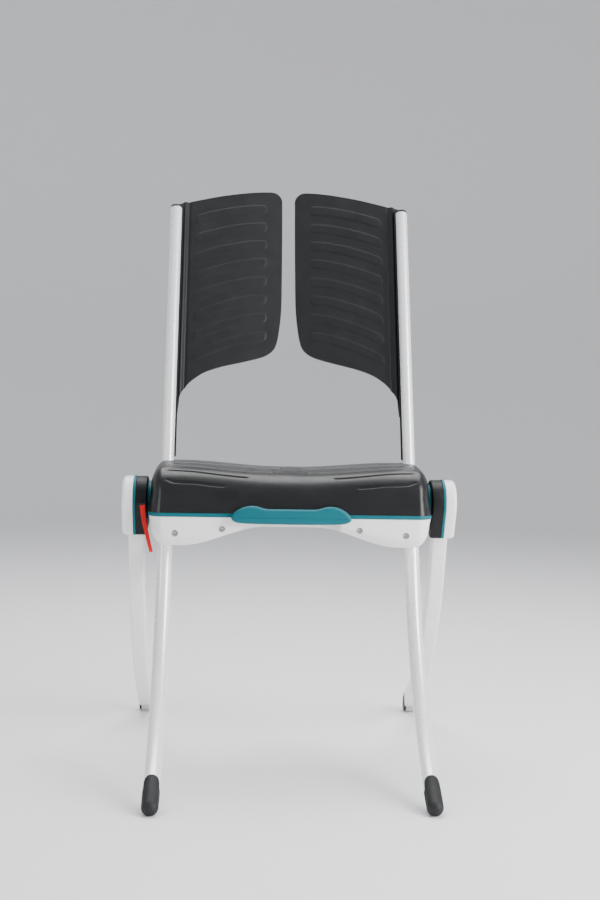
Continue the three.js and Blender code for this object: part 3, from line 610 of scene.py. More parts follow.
shell = pillow(
    "white_lower_shell", SHELL_PLAN, RIM_PLAN, 96, 0.004, shell_bottom,
    (SHELL_DROPS_SIDE, front_roll, SHELL_DROPS_REAR), rim=TRIM_LOW, flare=0.003, sign=-1,
)
close_up(shell, fill=True)
hollow = pillow(
    "shell_hollow", inside_plan(SHELL_PLAN, SHELL_WALL), inside_plan(RIM_PLAN, SHELL_WALL), 60, 0.008,
    lambda x, y: shell_bottom(x, y) + SHELL_WALL,
    (SHELL_DROPS_SIDE, front_roll, SHELL_DROPS_REAR), rim=TRIM_LOW + 0.006, flare=0.003, sign=-1,
)
close_up(hollow, fill=True)
cut_away(hollow, block(
    "recess_wall", (-RECESS_HALF - SHELL_WALL, RECESS_FRONT, BELOW_SHELL),
    (RECESS_HALF + SHELL_WALL, RECESS_BACK + SHELL_WALL, RECESS_TOP + SHELL_WALL), 0.006,
))
cut_away(shell, hollow, block(
    "recess_cut", (-RECESS_HALF, RECESS_FRONT, BELOW_SHELL), (RECESS_HALF, RECESS_BACK, RECESS_TOP), 0.004,
))
for side in (-1, 1):
    cut_away(
        shell,
        across_hub(side, 0.266, 0.300, BOSS_HOLE_R),
        rod("leg_cut", on_line(side * TUBE_X, -0.130), on_line(side * TUBE_X, -0.040), 0.0160),
        through_back(side * TUBE_X, LOWER_PULL_Z, PULL_HOLE_R),
    )
    for x, z in SHELL_SCREWS:
        sink = rod("screw_cut", (side * x, -0.106, z), (side * x, -0.0935, z), 0.0105, 40, SCREW_BORE_R)
        bore = rod("screw_bore", (side * x, -0.0965, z), (side * x, -0.0850, z), SCREW_BORE_R, 32)
        cut_away(shell, sink, bore)
smooth(shell, 32)
white = moulded(
    "warm_white_abs", (0.84, 0.84, 0.83), 0.32, spark=1400.0, depth=0.00003, mottled=0.05, coat=0.1,
)
shell.data.materials.append(white)
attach(shell, "seat_unit")
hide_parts("lower_shell")

# ---------------------------------------------------------------- trim strips
# A teal band of the same height all round, clamped in the joint between cover and lower shell. It
# is two mouldings, one in front of the lift bosses and one behind them.


def rim_outline(plan, outset, steps=14):
    """The seat's outline in plan, counter-clockwise from the front left corner's left end."""
    half = plan["half"] + outset
    front, rear = plan["front"] - outset, plan["rear"] + outset
    wide = plan["side_round"] + outset
    points = []
    for x_sign, y_end, deep, first in (
        (-1, front, plan["front_round"] + outset, 180), (1, front, plan["front_round"] + outset, 270),
        (1, rear, -plan["rear_round"] - outset, 0), (-1, rear, -plan["rear_round"] - outset, 90),
    ):
        for k in range(steps + 1):
            turn = math.radians(first + 90 * k / steps)
            x = x_sign * (half - wide) + wide * math.cos(turn)
            y = y_end + deep + abs(deep) * math.sin(turn)
            points.append(Vector((x, y)))
    return points


def shrink(points, inset):
    """A closed counter-clockwise outline moved inwards, with mitred corners."""
    moved = []
    for k, here in enumerate(points):
        back = (here - points[k - 1]).normalized()
        on = (points[(k + 1) % len(points)] - here).normalized()
        left = Vector((-back.y - on.y, back.x + on.x))
        moved.append(here + left * (inset / max(0.5, 1 + back.dot(on))))
    return moved


def rounded_edges(near, far, near_round, far_round, steps=4):
    """(offset, inset) of the sections of a slab whose two outer edges are rounded off."""
    turns = [math.pi / 2 * k / steps for k in range(steps + 1)]
    start = [(near + near_round * (1 - math.cos(t)), near_round * (1 - math.sin(t))) for t in turns]
    end = [(far - far_round * (1 - math.cos(t)), far_round * (1 - math.sin(t))) for t in turns]
    return start + end[::-1]


def slab(name, outline, sections, lies="X"):
    """A closed slab through copies of an outline, each at an offset along an axis and inset."""
    rings = [(offset, shrink(outline, inset)) for offset, inset in sections]

    def place(across, along):
        offset, ring = rings[round(along * (len(rings) - 1))]
        a, b = ring[round(across * len(ring)) % len(ring)]
        return {"X": Vector((offset, a, b)), "Y": Vector((a, offset, b)), "Z": Vector((a, b, offset))}[lies]

    piece = lay_grid(name, len(outline), len(rings) - 1, place)
    close_up(piece, fill=True)
    return piece


TRIM_PROUD = 0.0046
TRIM_DEEP = 0.004
TRIM_GAP = 0.0003
BEYOND = 0.3


def trim_strip(name, cut_from, cut_to):
    """The band all round, with the part between two depths cut away, and the boss holes."""
    edges = rounded_edges(TRIM_LOW + TRIM_GAP, TRIM_HIGH - TRIM_GAP, 0.001, 0.001, 3)
    band = slab(name, rim_outline(RIM_PLAN, TRIM_PROUD), edges, "Z")
    core = [(TRIM_LOW - 0.01, 0), (TRIM_HIGH + 0.01, 0)]
    inner = slab("trim_inner", rim_outline(RIM_PLAN, -TRIM_DEEP), core, "Z")
    ends = block("trim_end", (-0.4, cut_from, 0.48), (0.4, cut_to, 0.54))
    cut_away(band, inner, ends)
    for side in (-1, 1):
        cut_away(band, across_hub(side, 0.262, 0.300, BOSS_HOLE_R))
    smooth(band)
    return band


teal = moulded("teal_abs", (0.0, 0.110, 0.140), 0.45, spark=1200.0, depth=0.00003, mottled=0.08, shine=0.25)
for name, node, cut_from, cut_to in (
    ("teal_trim_front", "trim_front", HUB.y, BEYOND), ("teal_trim_rear", "trim_rear", -BEYOND, HUB.y),
):
    strip = trim_strip(name, cut_from, cut_to)
    strip.data.materials.append(teal)
    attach(strip, "seat_unit")
    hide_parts(node)

# ---------------------------------------------------------------- carry handle
# A teal grab bar across the front, moulded in one piece with two posts that bolt into the shell.
# Its ends swell and rise over the trim, and its edges are well rounded for the hand.


def bezier(a, b, c, d, steps):
    """Points from a up to, but not including, d."""
    points = []
    for k in range(steps):
        t = k / steps
        w = ((1 - t) ** 3, 3 * t * (1 - t) ** 2, 3 * t * t * (1 - t), t ** 3)
        points.append(Vector(sum(p[i] * s for p, s in zip((a, b, c, d), w)) for i in (0, 1)))
    return points


HANDLE_RIGHT = [
    ((0.0, 0.4845), (0.050, 0.4845), (0.085, 0.4850), (0.101, 0.4864)),
    ((0.101, 0.4864), (0.1125, 0.4876), (0.1186, 0.4925), (0.1175, 0.4985)),
    ((0.1175, 0.4985), (0.1160, 0.5055), (0.0990, 0.5200), (0.078, 0.5205)),
    ((0.078, 0.5205), (0.0620, 0.5210), (0.058, 0.5140), (0.040, 0.5145)),
]
handle_line = [p for curve in HANDLE_RIGHT for p in bezier(*curve, 12)]
handle_line += [Vector((-p.x, p.y)) for p in reversed(handle_line[1:])]
HANDLE_FRONT = SEAT_MIDDLE - 0.176
HANDLE_BACK = SEAT_MIDDLE - 0.163
handle = slab(
    "teal_carry_handle", handle_line, rounded_edges(HANDLE_FRONT, HANDLE_BACK, 0.0072, 0.0030, 8), "Y",
)
for side in (-1, 1):
    near, far = sorted((side * 0.088, side * 0.102))
    post = block("post", (near, HANDLE_BACK - 0.003, 0.4865), (far, HANDLE_BACK + 0.0095, 0.4945), 0.0020)
    alone(handle)
    post.select_set(True)
    bpy.ops.object.join()
smooth(handle, 40)
handle.data.materials.append(teal)
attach(handle, "seat_unit")
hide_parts("carry_handle")

# ---------------------------------------------------------------- shell screws
# Socket-head steel screws, two on each side of the handle, sunk in tapered recesses in the lower
# shell's front. They pull the two shells together.


def turned(name, profile, start, axis, steps=48):
    """A solid turned about an axis: a closed profile of (radius, distance along) spun round it."""
    axis = Vector(axis).normalized()
    across = axis.orthogonal().normalized()
    bpy.ops.object.select_all(action="DESELECT")
    bpy.ops.mesh.primitive_circle_add(vertices=len(profile), fill_type="NOTHING")
    piece = bpy.context.object
    piece.name = name
    for corner, (radius, along) in zip(piece.data.vertices, profile):
        corner.co = Vector(start) + across * radius + axis * along
    bpy.ops.object.transform_apply(location=True, rotation=True, scale=True)
    bpy.ops.object.mode_set(mode="EDIT")
    bpy.ops.mesh.select_all(action="SELECT")
    bpy.ops.mesh.spin(steps=steps, angle=math.tau, center=start, axis=axis)
    bpy.ops.mesh.select_all(action="SELECT")
    bpy.ops.mesh.remove_doubles(threshold=1e-5)
    bpy.ops.mesh.dissolve_degenerate(threshold=1e-6)
    bpy.ops.object.mode_set(mode="OBJECT")
    close_up(piece)
    return piece


def twin(piece, body, node, slot):
    """Names a piece for the right-hand side and adds its mirror image on the left."""
    name = piece.name
    alone(piece)
    bpy.ops.object.duplicate()
    other = bpy.context.object
    other.data.transform(Matrix.Scale(-1, 4, (1, 0, 0)))
    other.data.flip_normals()
    for one, side in ((piece, "right"), (other, "left")):
        one.name = f"{name}_{side}"
        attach(one, body.format(side=side))
        if node:
            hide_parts(f"{node}_{side}")
    return other


SCREW_PROFILE = [
    (0.0, 0.0024), (0.0021, 0.0024), (0.0024, 0.0003), (0.0042, 0.0), (0.0049, 0.0008),
    (0.0049, 0.0030), (0.0024, 0.0030), (0.0024, 0.0140), (0.0, 0.0140),
]
steel = bright_steel("plated_steel")
for place, (x, z) in zip(("outer", "inner"), SHELL_SCREWS):
    screw = turned(f"screw_{place}", SCREW_PROFILE, (x, SEAT_MIDDLE - 0.151, z), (0, 1, 0), 30)
    smooth(screw)
    screw.data.materials.append(steel)
    twin(screw, "seat_unit", f"shell_screw_{place}", "steel")

# ---------------------------------------------------------------- lift bosses
# A teal ring closes the hole in the seat's side round each lift bearing. It is pressed in, and
# the arm turns against its flat face.
ring = turned(
    "teal_boss_ring",
    [(0.0223, 0.0), (BOSS_R, 0.0), (BOSS_R, 0.0108), (BOSS_R - 0.0004, 0.0117), (BOSS_R - 0.0012, 0.0122),
     (0.0235, 0.0122), (0.0223, 0.0112)],
    HUB + Vector((0.2722, 0, 0)), (1, 0, 0), 72,
)
smooth(ring)
ring.data.materials.append(teal)
twin(ring, "seat_unit", "boss_ring", "teal_plastic")

# ---------------------------------------------------------------- lift arms
# Each arm is a three-layer moulding on the end of the lift shaft: a black gear housing, a thin
# teal band, and a white cover with a soft outer edge. The rear leg plugs into it from below.
REAR_LEAN = math.radians(16)
ARM_R = 0.047
ARM_DROP = 0.064
LEG_X = 0.309
LEG_HALF_WIDTH = 0.0155
LEG_HALF_DEPTH = 0.018
LEG_TOP = 0.025
LEG_FIT = 0.0004
SHAFT_HOLE_R = 0.0103


def on_leg(down, behind):
    """A point on the straight part of a rear leg: below the hub, and behind the leg's middle."""
    return Vector((
        HUB.y + down * math.sin(REAR_LEAN) + behind * math.cos(REAR_LEAN),
        HUB.z - down * math.cos(REAR_LEAN) + behind * math.sin(REAR_LEAN),
    ))


def arm_outline(radius, corner=0.006):
    """A rounded top about the hub, sides that draw in a little, and a cut end with soft corners."""
    half = radius - 0.009
    points = []
    for k in range(57):
        turn = REAR_LEAN + math.pi * k / 56
        points.append(Vector((HUB.y + radius * math.cos(turn), HUB.z + radius * math.sin(turn))))
    for way in (-1, 1):
        for k in range(6):
            turn = math.pi / 2 * k / 5 if way < 0 else math.pi / 2 * (1 - k / 5)
            down = ARM_DROP - corner * (1 - math.sin(turn))
            points.append(on_leg(down, way * (half - corner * (1 - math.cos(turn)))))
    return points


def leg_pocket():
    deep, wide = LEG_HALF_DEPTH + LEG_FIT, LEG_HALF_WIDTH + LEG_FIT
    high, low = LEG_TOP - LEG_FIT, ARM_DROP + 0.03
    corners = [on_leg(low, -deep), on_leg(low, deep), on_leg(high, deep), on_leg(high, -deep)]
    return slab("leg_pocket", corners, [(LEG_X - wide, 0), (LEG_X + wide, 0)])


black = moulded(
    "black_glass_filled", (0.0035, 0.0035, 0.004), 0.46, spark=1000.0, depth=0.00008, shine=0.25,
)
for name, node, radius, layer, finish, slot in (
    ("arm_gear_housing", "arm_housing", ARM_R, (0.285, 0.307, 0.003, 0.0008, 5), black, "black_plastic"),
    ("arm_teal_band", "arm_band", ARM_R + 0.001, (0.3073, 0.3127, 0.0012, 0.0012, 4), teal, "teal_plastic"),
    ("arm_white_cover", "arm_cap", ARM_R, (0.313, 0.335, 0.0006, 0.0085, 8), white, "white_plastic"),
):
    arm = slab(name, arm_outline(radius), rounded_edges(*layer))
    cut_away(arm, leg_pocket())
    if node == "arm_housing":
        cut_away(arm, across_hub(1, 0.280, 0.300, SHAFT_HOLE_R, 48))
    smooth(arm, 38)
    arm.data.materials.append(finish)
    twin(arm, "lift_arms", node, slot)

# ---------------------------------------------------------------- rear legs
# White box-section bars, straight below the arm and then curving back. Each ends in a dark fork
# with two cheeks that hold a small roller, so that the legs roll as they raise the seat.
LEG_END_LEAN = math.radians(65)
LEG_STRAIGHT = 0.092
LEG_BEND_R = 0.655
WHEEL = Vector((LEG_X, 0.373, 0.019))
straight_end = on_leg(LEG_STRAIGHT, -LEG_HALF_DEPTH)
bend_middle = straight_end + Vector((math.cos(REAR_LEAN), math.sin(REAR_LEAN))) * LEG_BEND_R


def past_end(along, inwards):
    """A point beyond a rear leg's cut end: along the leg, and in from its front face."""
    reach = LEG_BEND_R - inwards
    return bend_middle + Vector((
        -reach * math.cos(LEG_END_LEAN) + along * math.sin(LEG_END_LEAN),
        -reach * math.sin(LEG_END_LEAN) - along * math.cos(LEG_END_LEAN),
    ))


def bend_arc(inwards, steps=44):
    turns = [REAR_LEAN + (LEG_END_LEAN - REAR_LEAN) * k / steps for k in range(steps + 1)]
    reach = LEG_BEND_R - inwards
    return [bend_middle - Vector((math.cos(t), math.sin(t))) * reach for t in turns]


leg_line = [on_leg(LEG_TOP, LEG_HALF_DEPTH), on_leg(LEG_TOP, -LEG_HALF_DEPTH)]
leg_line += bend_arc(0.0) + bend_arc(2 * LEG_HALF_DEPTH)[::-1]
leg = slab(
    "white_rear_leg", leg_line,
    rounded_edges(LEG_X - LEG_HALF_WIDTH, LEG_X + LEG_HALF_WIDTH, 0.0045, 0.0045, 6),
)
smooth(leg, 40)
leg.data.materials.append(white)
twin(leg, "{side}_rear_leg", "rear_leg", "white_plastic")

CHEEK = 0.004


def fork_outline(reach):
    """From the leg's end round the roller, or only a bridge that long if reach is given."""
    back, front = past_end(0.0003, 0.0345), past_end(0.0003, 0.0015)
    if reach:
        return [back, front, past_end(reach, 0.004), past_end(reach, 0.032)]
    turn = LEG_END_LEAN - math.pi / 2
    first, last = turn - math.pi * 0.66, turn + math.pi * 0.42
    points = [back, front]
    for k in range(29):
        a = first + (last - first) * k / 28
        points.append(Vector((WHEEL.y, WHEEL.z)) + Vector((math.cos(a), math.sin(a))) * 0.017)
    return points


fork = slab("dark_wheel_fork", fork_outline(0.007), [(LEG_X - 0.0150, 0), (LEG_X + 0.0150, 0)])
for low in (LEG_X - LEG_HALF_WIDTH, LEG_X + LEG_HALF_WIDTH - CHEEK):
    cheek = slab("cheek", fork_outline(None), rounded_edges(low, low + CHEEK, 0.0012, 0.0012, 3))
    cut_away(cheek, rod("axle_cut", WHEEL - Vector((0.03, 0, 0)), WHEEL + Vector((0.03, 0, 0)), 0.0032, 32))
    cut_away(fork, cheek, operation="UNION")
smooth(fork, 38)
fork.data.materials.append(black)
twin(fork, "{side}_rear_leg", "wheel_fork", "black_plastic")

ROLLER_PROFILE = [
    (0.0033, -0.0110), (0.0062, -0.0110), (0.0066, -0.0096), (0.0125, -0.0096), (0.0130, -0.0106),
    (0.0168, -0.0109), (0.0184, -0.0100), (0.0189, -0.0080), (0.0190, -0.0040),
]
ROLLER_PROFILE += [(radius, -x) for radius, x in reversed(ROLLER_PROFILE)]
roller = turned("grey_roller", ROLLER_PROFILE, WHEEL, (1, 0, 0), 64)
smooth(roller, 40)
tread = moulded("grey_polyurethane", (0.62, 0.61, 0.59), 0.5, spark=500.0, depth=0.0001, mottled=0.25)
roller.data.materials.append(tread)
twin(roller, "{side}_wheel", "rear_wheel", "wheel_tread")

# ---------------------------------------------------------------- front legs
# Thin-walled steel tube, 30 mm across, powder-coated silver white. It plugs up into the seat's
# socket, runs straight, and then curves forwards to a rubber shoe with a tongue up its front.
FRONT_STRAIGHT = 0.134
FRONT_BEND_R = 0.707
FRONT_TUBE_R = 0.0150
FRONT_TUBE_START = 0.010
FRONT_TUBE_LENGTH = 0.622
TUBE_WALL = 0.0018
SHOE_R = 0.0154


def down_leg(run):
    """The front leg's centre line: the point at that run below the hub's height, and its lean."""
    straight = min(run, FRONT_STRAIGHT)
    turned_by = LEAN + (run - straight) / FRONT_BEND_R
    start = on_line(TUBE_X, -straight)
    y = start.y + FRONT_BEND_R * (math.cos(turned_by) - math.cos(LEAN))
    z = start.z - FRONT_BEND_R * (math.sin(turned_by) - math.sin(LEAN))
    return Vector((TUBE_X, y, z)), turned_by


def round_leg(run, angle, radius):
    """A point at a radius from the leg's centre line; angle 0 is on its front."""
    middle, lean = down_leg(run)
    forward = Vector((0, -math.cos(lean), math.sin(lean)))
    return middle + forward * (radius * math.cos(angle)) + Vector((radius * math.sin(angle), 0, 0))


leg_tube = lay_grid(
    "silver_front_leg", 48, 90,
    lambda across, along: round_leg(
        FRONT_TUBE_START + FRONT_TUBE_LENGTH * along, math.tau * across, FRONT_TUBE_R,
    ),
)
close_up(leg_tube)
modify(leg_tube, "SOLIDIFY", thickness=TUBE_WALL, offset=-1)
smooth(leg_tube, 40)


def coated_tube(name):
    """Satin powder coat with a metallic flake: a soft sheen, slight orange peel, fine sparkle."""
    material, shader = shade(name, (0.86, 0.865, 0.87), 0.27, metallic=0.30)
    shader.inputs["Coat Weight"].default_value = 0.25
    shader.inputs["Coat Roughness"].default_value = 0.15
    mottle(material, shader, 420.0, (0.85, 0.855, 0.86), (0.88, 0.885, 0.89))
    mottle(material, shader, 24.0, 0.24, 0.32, "Roughness")
    grain(material, shader, 260.0, 0.00002, 0.08)
    return material


silver = coated_tube("silver_powder_coat")
leg_tube.data.materials.append(silver)
twin(leg_tube, "{side}_front_leg", "front_leg_tube", "tube_paint")

SHOE_SIDE_START = 0.627
TONGUE_START = 0.601
TONGUE_HALF = 1.18
SHOE_NOSE = 0.665
SHOE_LIP = 0.0012


def shoe_start(angle):
    """Where the shoe's top edge is: high on its front tongue and lower round the sides."""
    off = abs((angle + math.pi) % math.tau - math.pi)
    rounded = math.sqrt(max(0.0, 1 - (off / TONGUE_HALF) ** 2)) if off < TONGUE_HALF else 0.0
    return SHOE_SIDE_START - (SHOE_SIDE_START - TONGUE_START) * rounded ** 0.55


def shoe_point(across, along):
    angle = math.tau * across
    start = shoe_start(angle)
    off = abs((angle + math.pi) % math.tau - math.pi)
    crease = 0.00055 * math.exp(-((off - TONGUE_HALF * 1.02) / 0.09) ** 2)
    row = along * 60
    if row <= 4:
        turn = math.pi / 2 * row / 4
        place = round_leg(start + SHOE_LIP * (1 - math.cos(turn)), angle, 0.0149 + 0.0008 * math.sin(turn))
    elif row <= 44:
        run = start + SHOE_LIP + (SHOE_NOSE - start - SHOE_LIP) * (row - 4) / 40
        fade = 1 - ease(SHOE_NOSE - 0.020, SHOE_NOSE, run)
        place = round_leg(run, angle, SHOE_R + 0.0003 - crease * fade - 0.0003 * (1 - fade))
    else:
        turn = math.pi / 2 * (row - 44) / 16
        middle, lean = down_leg(SHOE_NOSE)
        ahead = Vector((0, -math.sin(lean), -math.cos(lean)))
        ring = round_leg(SHOE_NOSE, angle, SHOE_R)
        place = middle + (ring - middle) * math.cos(turn) + ahead * (SHOE_R * math.sin(turn))
    place.z = max(place.z, 0.0)
    return place


shoe = lay_grid("rubber_leg_shoe", 96, 60, shoe_point)
close_up(shoe, fill=True)
smooth(shoe, 50)
rubber = moulded(
    "dark_rubber", (0.011, 0.0115, 0.012), 0.60, spark=700.0, depth=0.00012, mottled=0.3, shine=0.35,
)
shoe.data.materials.append(rubber)
twin(shoe, "{side}_front_leg", "front_shoe", "shoe_rubber")

# ---------------------------------------------------------------- backrest tubes
# Two straight tubes, 25 mm across, in the same silver coat. Each plugs into its socket through
# the cover and carries one backrest panel; a black plug closes its top.
BACK_TUBE_R = 0.0125
BACK_TUBE_START = 0.009
BACK_TUBE_TOP = 0.668
BACK_TUBE_LENGTH = BACK_TUBE_TOP - BACK_TUBE_START
back_tube = turned(
    "silver_back_tube",
    [(BACK_TUBE_R - TUBE_WALL, 0.0), (BACK_TUBE_R, 0.0), (BACK_TUBE_R, BACK_TUBE_LENGTH),
     (BACK_TUBE_R - TUBE_WALL, BACK_TUBE_LENGTH)],
    on_line(TUBE_X, BACK_TUBE_START), UP_LINE, 56,
)
smooth(back_tube, 40)
back_tube.data.materials.append(silver)
twin(back_tube, "{side}_backrest", "back_tube", "tube_paint")
plug = turned(
    "black_tube_cap",
    [(0.0, -0.014), (0.0095, -0.014), (0.0102, -0.012), (0.0102, 0.0003), (0.0124, 0.0003),
     (0.0127, 0.0010), (0.0125, 0.0035), (0.0112, 0.0058), (0.0082, 0.0074), (0.0040, 0.0080),
     (0.0, 0.0081)],
    on_line(TUBE_X, BACK_TUBE_TOP), UP_LINE, 48,
)
smooth(plug, 40)
plug.data.materials.append(black)
twin(plug, "{side}_backrest", "tube_cap", "black_plastic")

# ---------------------------------------------------------------- backrest panels
# Each panel is one charcoal moulding about 3.5 mm thick: a bead beside its tube, a sheet that
# falls back towards the middle, and eight raised bars. A channel clips it round the tube's back.
PANEL_OUTER = 0.2462
PANEL_LOW = 0.190
PANEL_HIGH = 0.7345
PANEL_INNER = [
    (0.190, 0.237), (0.210, 0.2345), (0.228, 0.231), (0.245, 0.2255), (0.261, 0.216), (0.276, 0.202),
    (0.293, 0.178), (0.306, 0.143), (0.317, 0.100), (0.328, 0.062), (0.337, 0.044), (0.350, 0.031),
    (0.370, 0.024), (0.400, 0.0195), (0.430, 0.0165), (0.465, 0.015), (0.520, 0.0145), (0.600, 0.014),
    (0.700, 0.014), (0.7345, 0.014),
]
PANEL_TOP = [
    (0.014, 0.7345), (0.038, 0.7345), (0.058, 0.7328), (0.085, 0.7288), (0.110, 0.7238), (0.150, 0.7145),
    (0.190, 0.7030), (0.225, 0.6925), (0.248, 0.6865),
]
PANEL_CORNER = 0.024
BAR_ENDS = (0.0490, 0.2060)
BAR_HALF = 0.011
BAR_CORNER = 0.009
BAR_PROUD = 0.0007
SHEET_BEHIND = 0.0135             # how far behind its tube's line the sheet starts
SHEET_SLOPE = 0.0731              # and how it falls back from there towards the middle
SHEET_CURVE = 0.121
BEAD_INNER = 0.2245
BEAD_WIDTH = 0.0135
BEAD_PROUD = 0.0046
GROOVE_X = 0.2215
GROOVE_WIDTH = 0.0022
GROOVE_DEPTH = 0.0012
PANEL_THICK = 0.0036


def along_table(table, value):
    """A smooth value from a table of (place, value) rows."""
    if value <= table[0][0]:
        return table[0][1]
    for k, ((p0, v0), (p1, v1)) in enumerate(zip(table, table[1:])):
        if value <= p1:
            before = table[max(0, k - 1)]
            after = table[min(len(table) - 1, k + 2)]
            slope0 = (v1 - before[1]) / max(1e-9, p1 - before[0])
            slope1 = (after[1] - v0) / max(1e-9, after[0] - p0)
            t = (value - p0) / (p1 - p0)
            span = p1 - p0
            return (
                v0 * (1 + 2 * t) * (1 - t) ** 2 + slope0 * span * t * (1 - t) ** 2
                + v1 * t * t * (3 - 2 * t) - slope1 * span * t * t * (1 - t)
            )
    return table[-1][1]


def bar_height(x, s):
    """How far the nearest raised bar stands proud at a point of the panel."""
    half_length = (BAR_ENDS[1] - BAR_ENDS[0]) / 2
    beyond_x = abs(x - sum(BAR_ENDS) / 2) - half_length + BAR_CORNER
    share = max(0.0, min(1.0, (BAR_ENDS[1] - x) / (2 * half_length)))
    lift = 1 - (1 - share) ** 1.6
    best = 0.0
    for k in range(8):
        outer, inner = 0.6620 - 0.0474 * k, 0.7000 - 0.0443 * k
        middle = outer + (inner - outer) * lift - BAR_HALF
        beyond_s = abs(s - middle) - BAR_HALF + BAR_CORNER
        gap = math.hypot(max(beyond_x, 0), max(beyond_s, 0)) + min(max(beyond_x, beyond_s), 0) - BAR_CORNER
        best = max(best, BAR_PROUD * (1 - ease(-0.0014, 0.0006, gap)))
    return best


def panel_point(across, along):
    along = 1 - (1 - along) ** 1.15
    s0 = PANEL_LOW + (PANEL_HIGH - PANEL_LOW) * along
    inner = along_table(PANEL_INNER, s0)
    over = max(0.0, min(1.0, (s0 - PANEL_HIGH + PANEL_CORNER) / PANEL_CORNER))
    inner += PANEL_CORNER * (1 - math.sqrt(1 - over * over))
    x = PANEL_OUTER + (inner - PANEL_OUTER) * across
    s = PANEL_LOW + along * (along_table(PANEL_TOP, x) - PANEL_LOW)
    set_back = 0.248 - x
    behind = SHEET_BEHIND + SHEET_SLOPE * set_back + SHEET_CURVE * set_back * set_back
    behind -= BEAD_PROUD * math.sin(math.pi * max(0.0, min(1.0, (x - BEAD_INNER) / BEAD_WIDTH)))
    behind += GROOVE_DEPTH * math.exp(-((x - GROOVE_X) / GROOVE_WIDTH) ** 2)
    return on_line(x, s, behind - bar_height(x, s))


panel = lay_grid("charcoal_back_panel", 110, 250, panel_point)
alone(panel)
bpy.ops.object.mode_set(mode="EDIT")
bpy.ops.mesh.select_all(action="SELECT")
bpy.ops.mesh.normals_make_consistent(inside=False)
bpy.ops.object.mode_set(mode="OBJECT")
facing = sum(face.normal.dot(BEHIND_LINE) for face in panel.data.polygons)
if facing > 0:
    panel.data.flip_normals()
modify(panel, "SOLIDIFY", thickness=PANEL_THICK, offset=-1)
modify(panel, "BEVEL", width=0.0009, segments=2, limit_method="ANGLE", angle_limit=math.radians(60))
CLIP_R = 0.0146
CLIP_THICK = 0.0034
CLIP_START = 0.092
CLIP_LENGTH = 0.588
CLIP_FROM = math.radians(-94)     # round the tube, with 0 at its back
CLIP_ROUND = math.radians(150)


def clip_point(across, along):
    angle = CLIP_FROM + CLIP_ROUND * across
    x = TUBE_X + CLIP_R * math.sin(angle)
    return on_line(x, CLIP_START + CLIP_LENGTH * along, CLIP_R * math.cos(angle))


clip = lay_grid("clip", 30, 40, clip_point)
modify(clip, "SOLIDIFY", thickness=CLIP_THICK, offset=0)
modify(clip, "BEVEL", width=0.0008, segments=2, limit_method="ANGLE", angle_limit=math.radians(60))
alone(panel)
clip.select_set(True)
bpy.ops.object.join()
smooth(panel, 40)
panel_grey = moulded(
    "charcoal_satin_panel", (0.0075, 0.0081, 0.0091), 0.43, spark=1100.0, depth=0.00005, shine=0.30,
)
panel.data.materials.append(panel_grey)
twin(panel, "{side}_backrest", "back_panel", "panel_grey")

# ---------------------------------------------------------------- rear controls
# On the back of the cover, within the helper's reach: a black pad with an up key and a down key,
# and below it on the other side the round charging socket with its rubber-lipped rim.
COVER_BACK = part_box("control_pad")[0][1]
PAD_R = 0.013
PAD_HALF = 0.018


def pad_outline():
    points = []
    for side, first in ((1, -90), (-1, 90)):
        for k in range(17):
            turn = math.radians(first + 180 * k / 16)
            x = PAD.x + side * PAD_HALF + PAD_R * math.cos(turn)
            points.append(Vector((x, PAD.z + PAD_R * math.sin(turn))))
    return points


pad_edges = rounded_edges(COVER_BACK - 0.0008, COVER_BACK + 0.0027, 0.0004, 0.0016, 4)
pad = slab("black_key_pad", pad_outline(), pad_edges, "Y")
for side in (-1, 1):
    x = PAD.x + side * KEY_GAP
    cut_away(pad, rod("key_cut", (x, 0.09, PAD.z), (x, 0.12, PAD.z), 0.0079, 40))
smooth(pad, 40)
pad.data.materials.append(black)
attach(pad, "seat_unit")
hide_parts("control_pad")
KEY_PROFILE = [
    (0.0, 0.0), (0.0075, 0.0), (0.0075, 0.0076), (0.0071, 0.0085), (0.0062, 0.0090), (0.0040, 0.0086),
    (0.0, 0.0083),
]
for name, node, body, side, finish, slot, sign in (
    ("teal_up_key", "up_button", "up_key", -1, teal, "teal_plastic", 1),
    ("white_down_key", "down_button", "down_key", 1, white, "white_plastic", -1),
):
    x = PAD.x + side * KEY_GAP
    key = turned(name, KEY_PROFILE, (x, SEAT_MIDDLE + 0.044, PAD.z), (0, 1, 0), 40)
    mark = slab("mark", [
        Vector((x + sign * 0.0028, PAD.z - sign * 0.0016)), Vector((x, PAD.z + sign * 0.0026)),
        Vector((x - sign * 0.0028, PAD.z - sign * 0.0016)),
    ], [(SEAT_MIDDLE + 0.0518, 0), (SEAT_MIDDLE + 0.0540, 0)], "Y")
    cut_away(key, mark)
    smooth(key, 35)
    key.data.materials.append(finish)
    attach(key, body)
    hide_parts(node)
port = turned(
    "black_charging_socket",
    [(0.0, 0.0), (0.0110, 0.0), (0.0110, 0.0026), (0.0102, 0.0035), (0.0080, 0.0035), (0.0072, 0.0028),
     (0.0070, 0.0012), (0.0022, 0.0012), (0.0018, 0.0030), (0.0, 0.0032)],
    (-0.140, COVER_BACK - 0.0008, 0.480), (0, 1, 0), 48,
)
smooth(port)
port.data.materials.append(black)
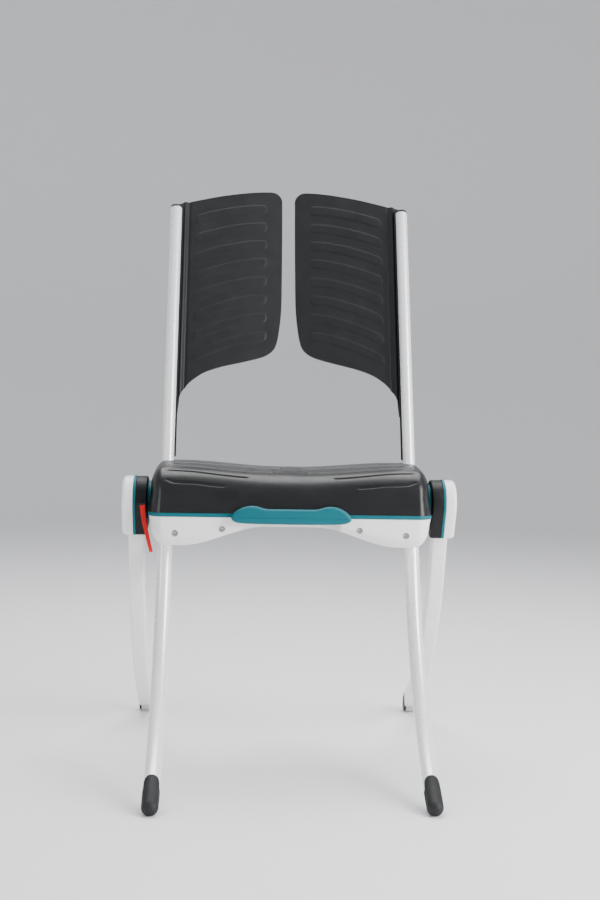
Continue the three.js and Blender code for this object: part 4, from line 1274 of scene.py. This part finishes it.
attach(port, "seat_unit")
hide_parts("charge_port")

# ---------------------------------------------------------------- latch knobs
# Sprung pull pins on the back of the seat, two for the backrest tubes and two for the front legs.
# Each has a black waisted knob moulded on a pin that drops into its tube.
for name, node, body, z in (
    ("backrest_pull_knob", "backrest_latch", "{side}_backrest_knob", UPPER_PULL_Z),
    ("leg_pull_knob", "front_leg_latch", "{side}_leg_knob", LOWER_PULL_Z),
):
    low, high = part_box(f"{node}_right")
    length = high[1] - low[1]
    knob = turned(
        name,
        [(0.0, 0.0), (0.0034, 0.0), (0.0040, 0.0008), (0.0040, length - 0.0105), (0.0062, length - 0.0100),
         (0.0066, length - 0.0085), (0.0060, length - 0.0062), (0.0068, length - 0.0036),
         (0.0080, length - 0.0022), (0.0078, length - 0.0008), (0.0066, length), (0.0, length)],
        (TUBE_X, low[1], z), (0, 1, 0), 40,
    )
    smooth(knob, 40)
    knob.data.materials.append(black)
    twin(knob, body, node, "black_plastic")

# ---------------------------------------------------------------- drive and frame inside
# Hidden in the seat: steel side plates, cross rails and sockets, the lift shaft with its gear
# sector, a gear motor, a battery and a control board. Their shapes are the frame's own.


def solder_board(name):
    """Green board lacquer with a faint pattern of copper tracks under it."""
    material, shader = shade(name, (0.012, 0.10, 0.045), 0.32)
    place = add(material, "ShaderNodeTexCoord")
    tracks = add(material, "ShaderNodeTexBrick", Scale=160.0, Mortar_Size=0.03)
    tracks.inputs["Color1"].default_value = (0.010, 0.09, 0.040, 1)
    tracks.inputs["Color2"].default_value = (0.016, 0.12, 0.055, 1)
    tracks.inputs["Mortar"].default_value = (0.05, 0.20, 0.08, 1)
    link(material, place.outputs["Object"], tracks.inputs["Vector"])
    link(material, tracks.outputs["Color"], shader.inputs["Base Color"])
    grain(material, shader, 300.0, 0.00005)
    return material


lacquer = solder_board("board_lacquer")
FRAME_FINISH = {"battery_pack": black, "control_board": lacquer}
for name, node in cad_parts.items():
    for held in node.material_slots:
        held.material = FRAME_FINISH.get(name, steel)
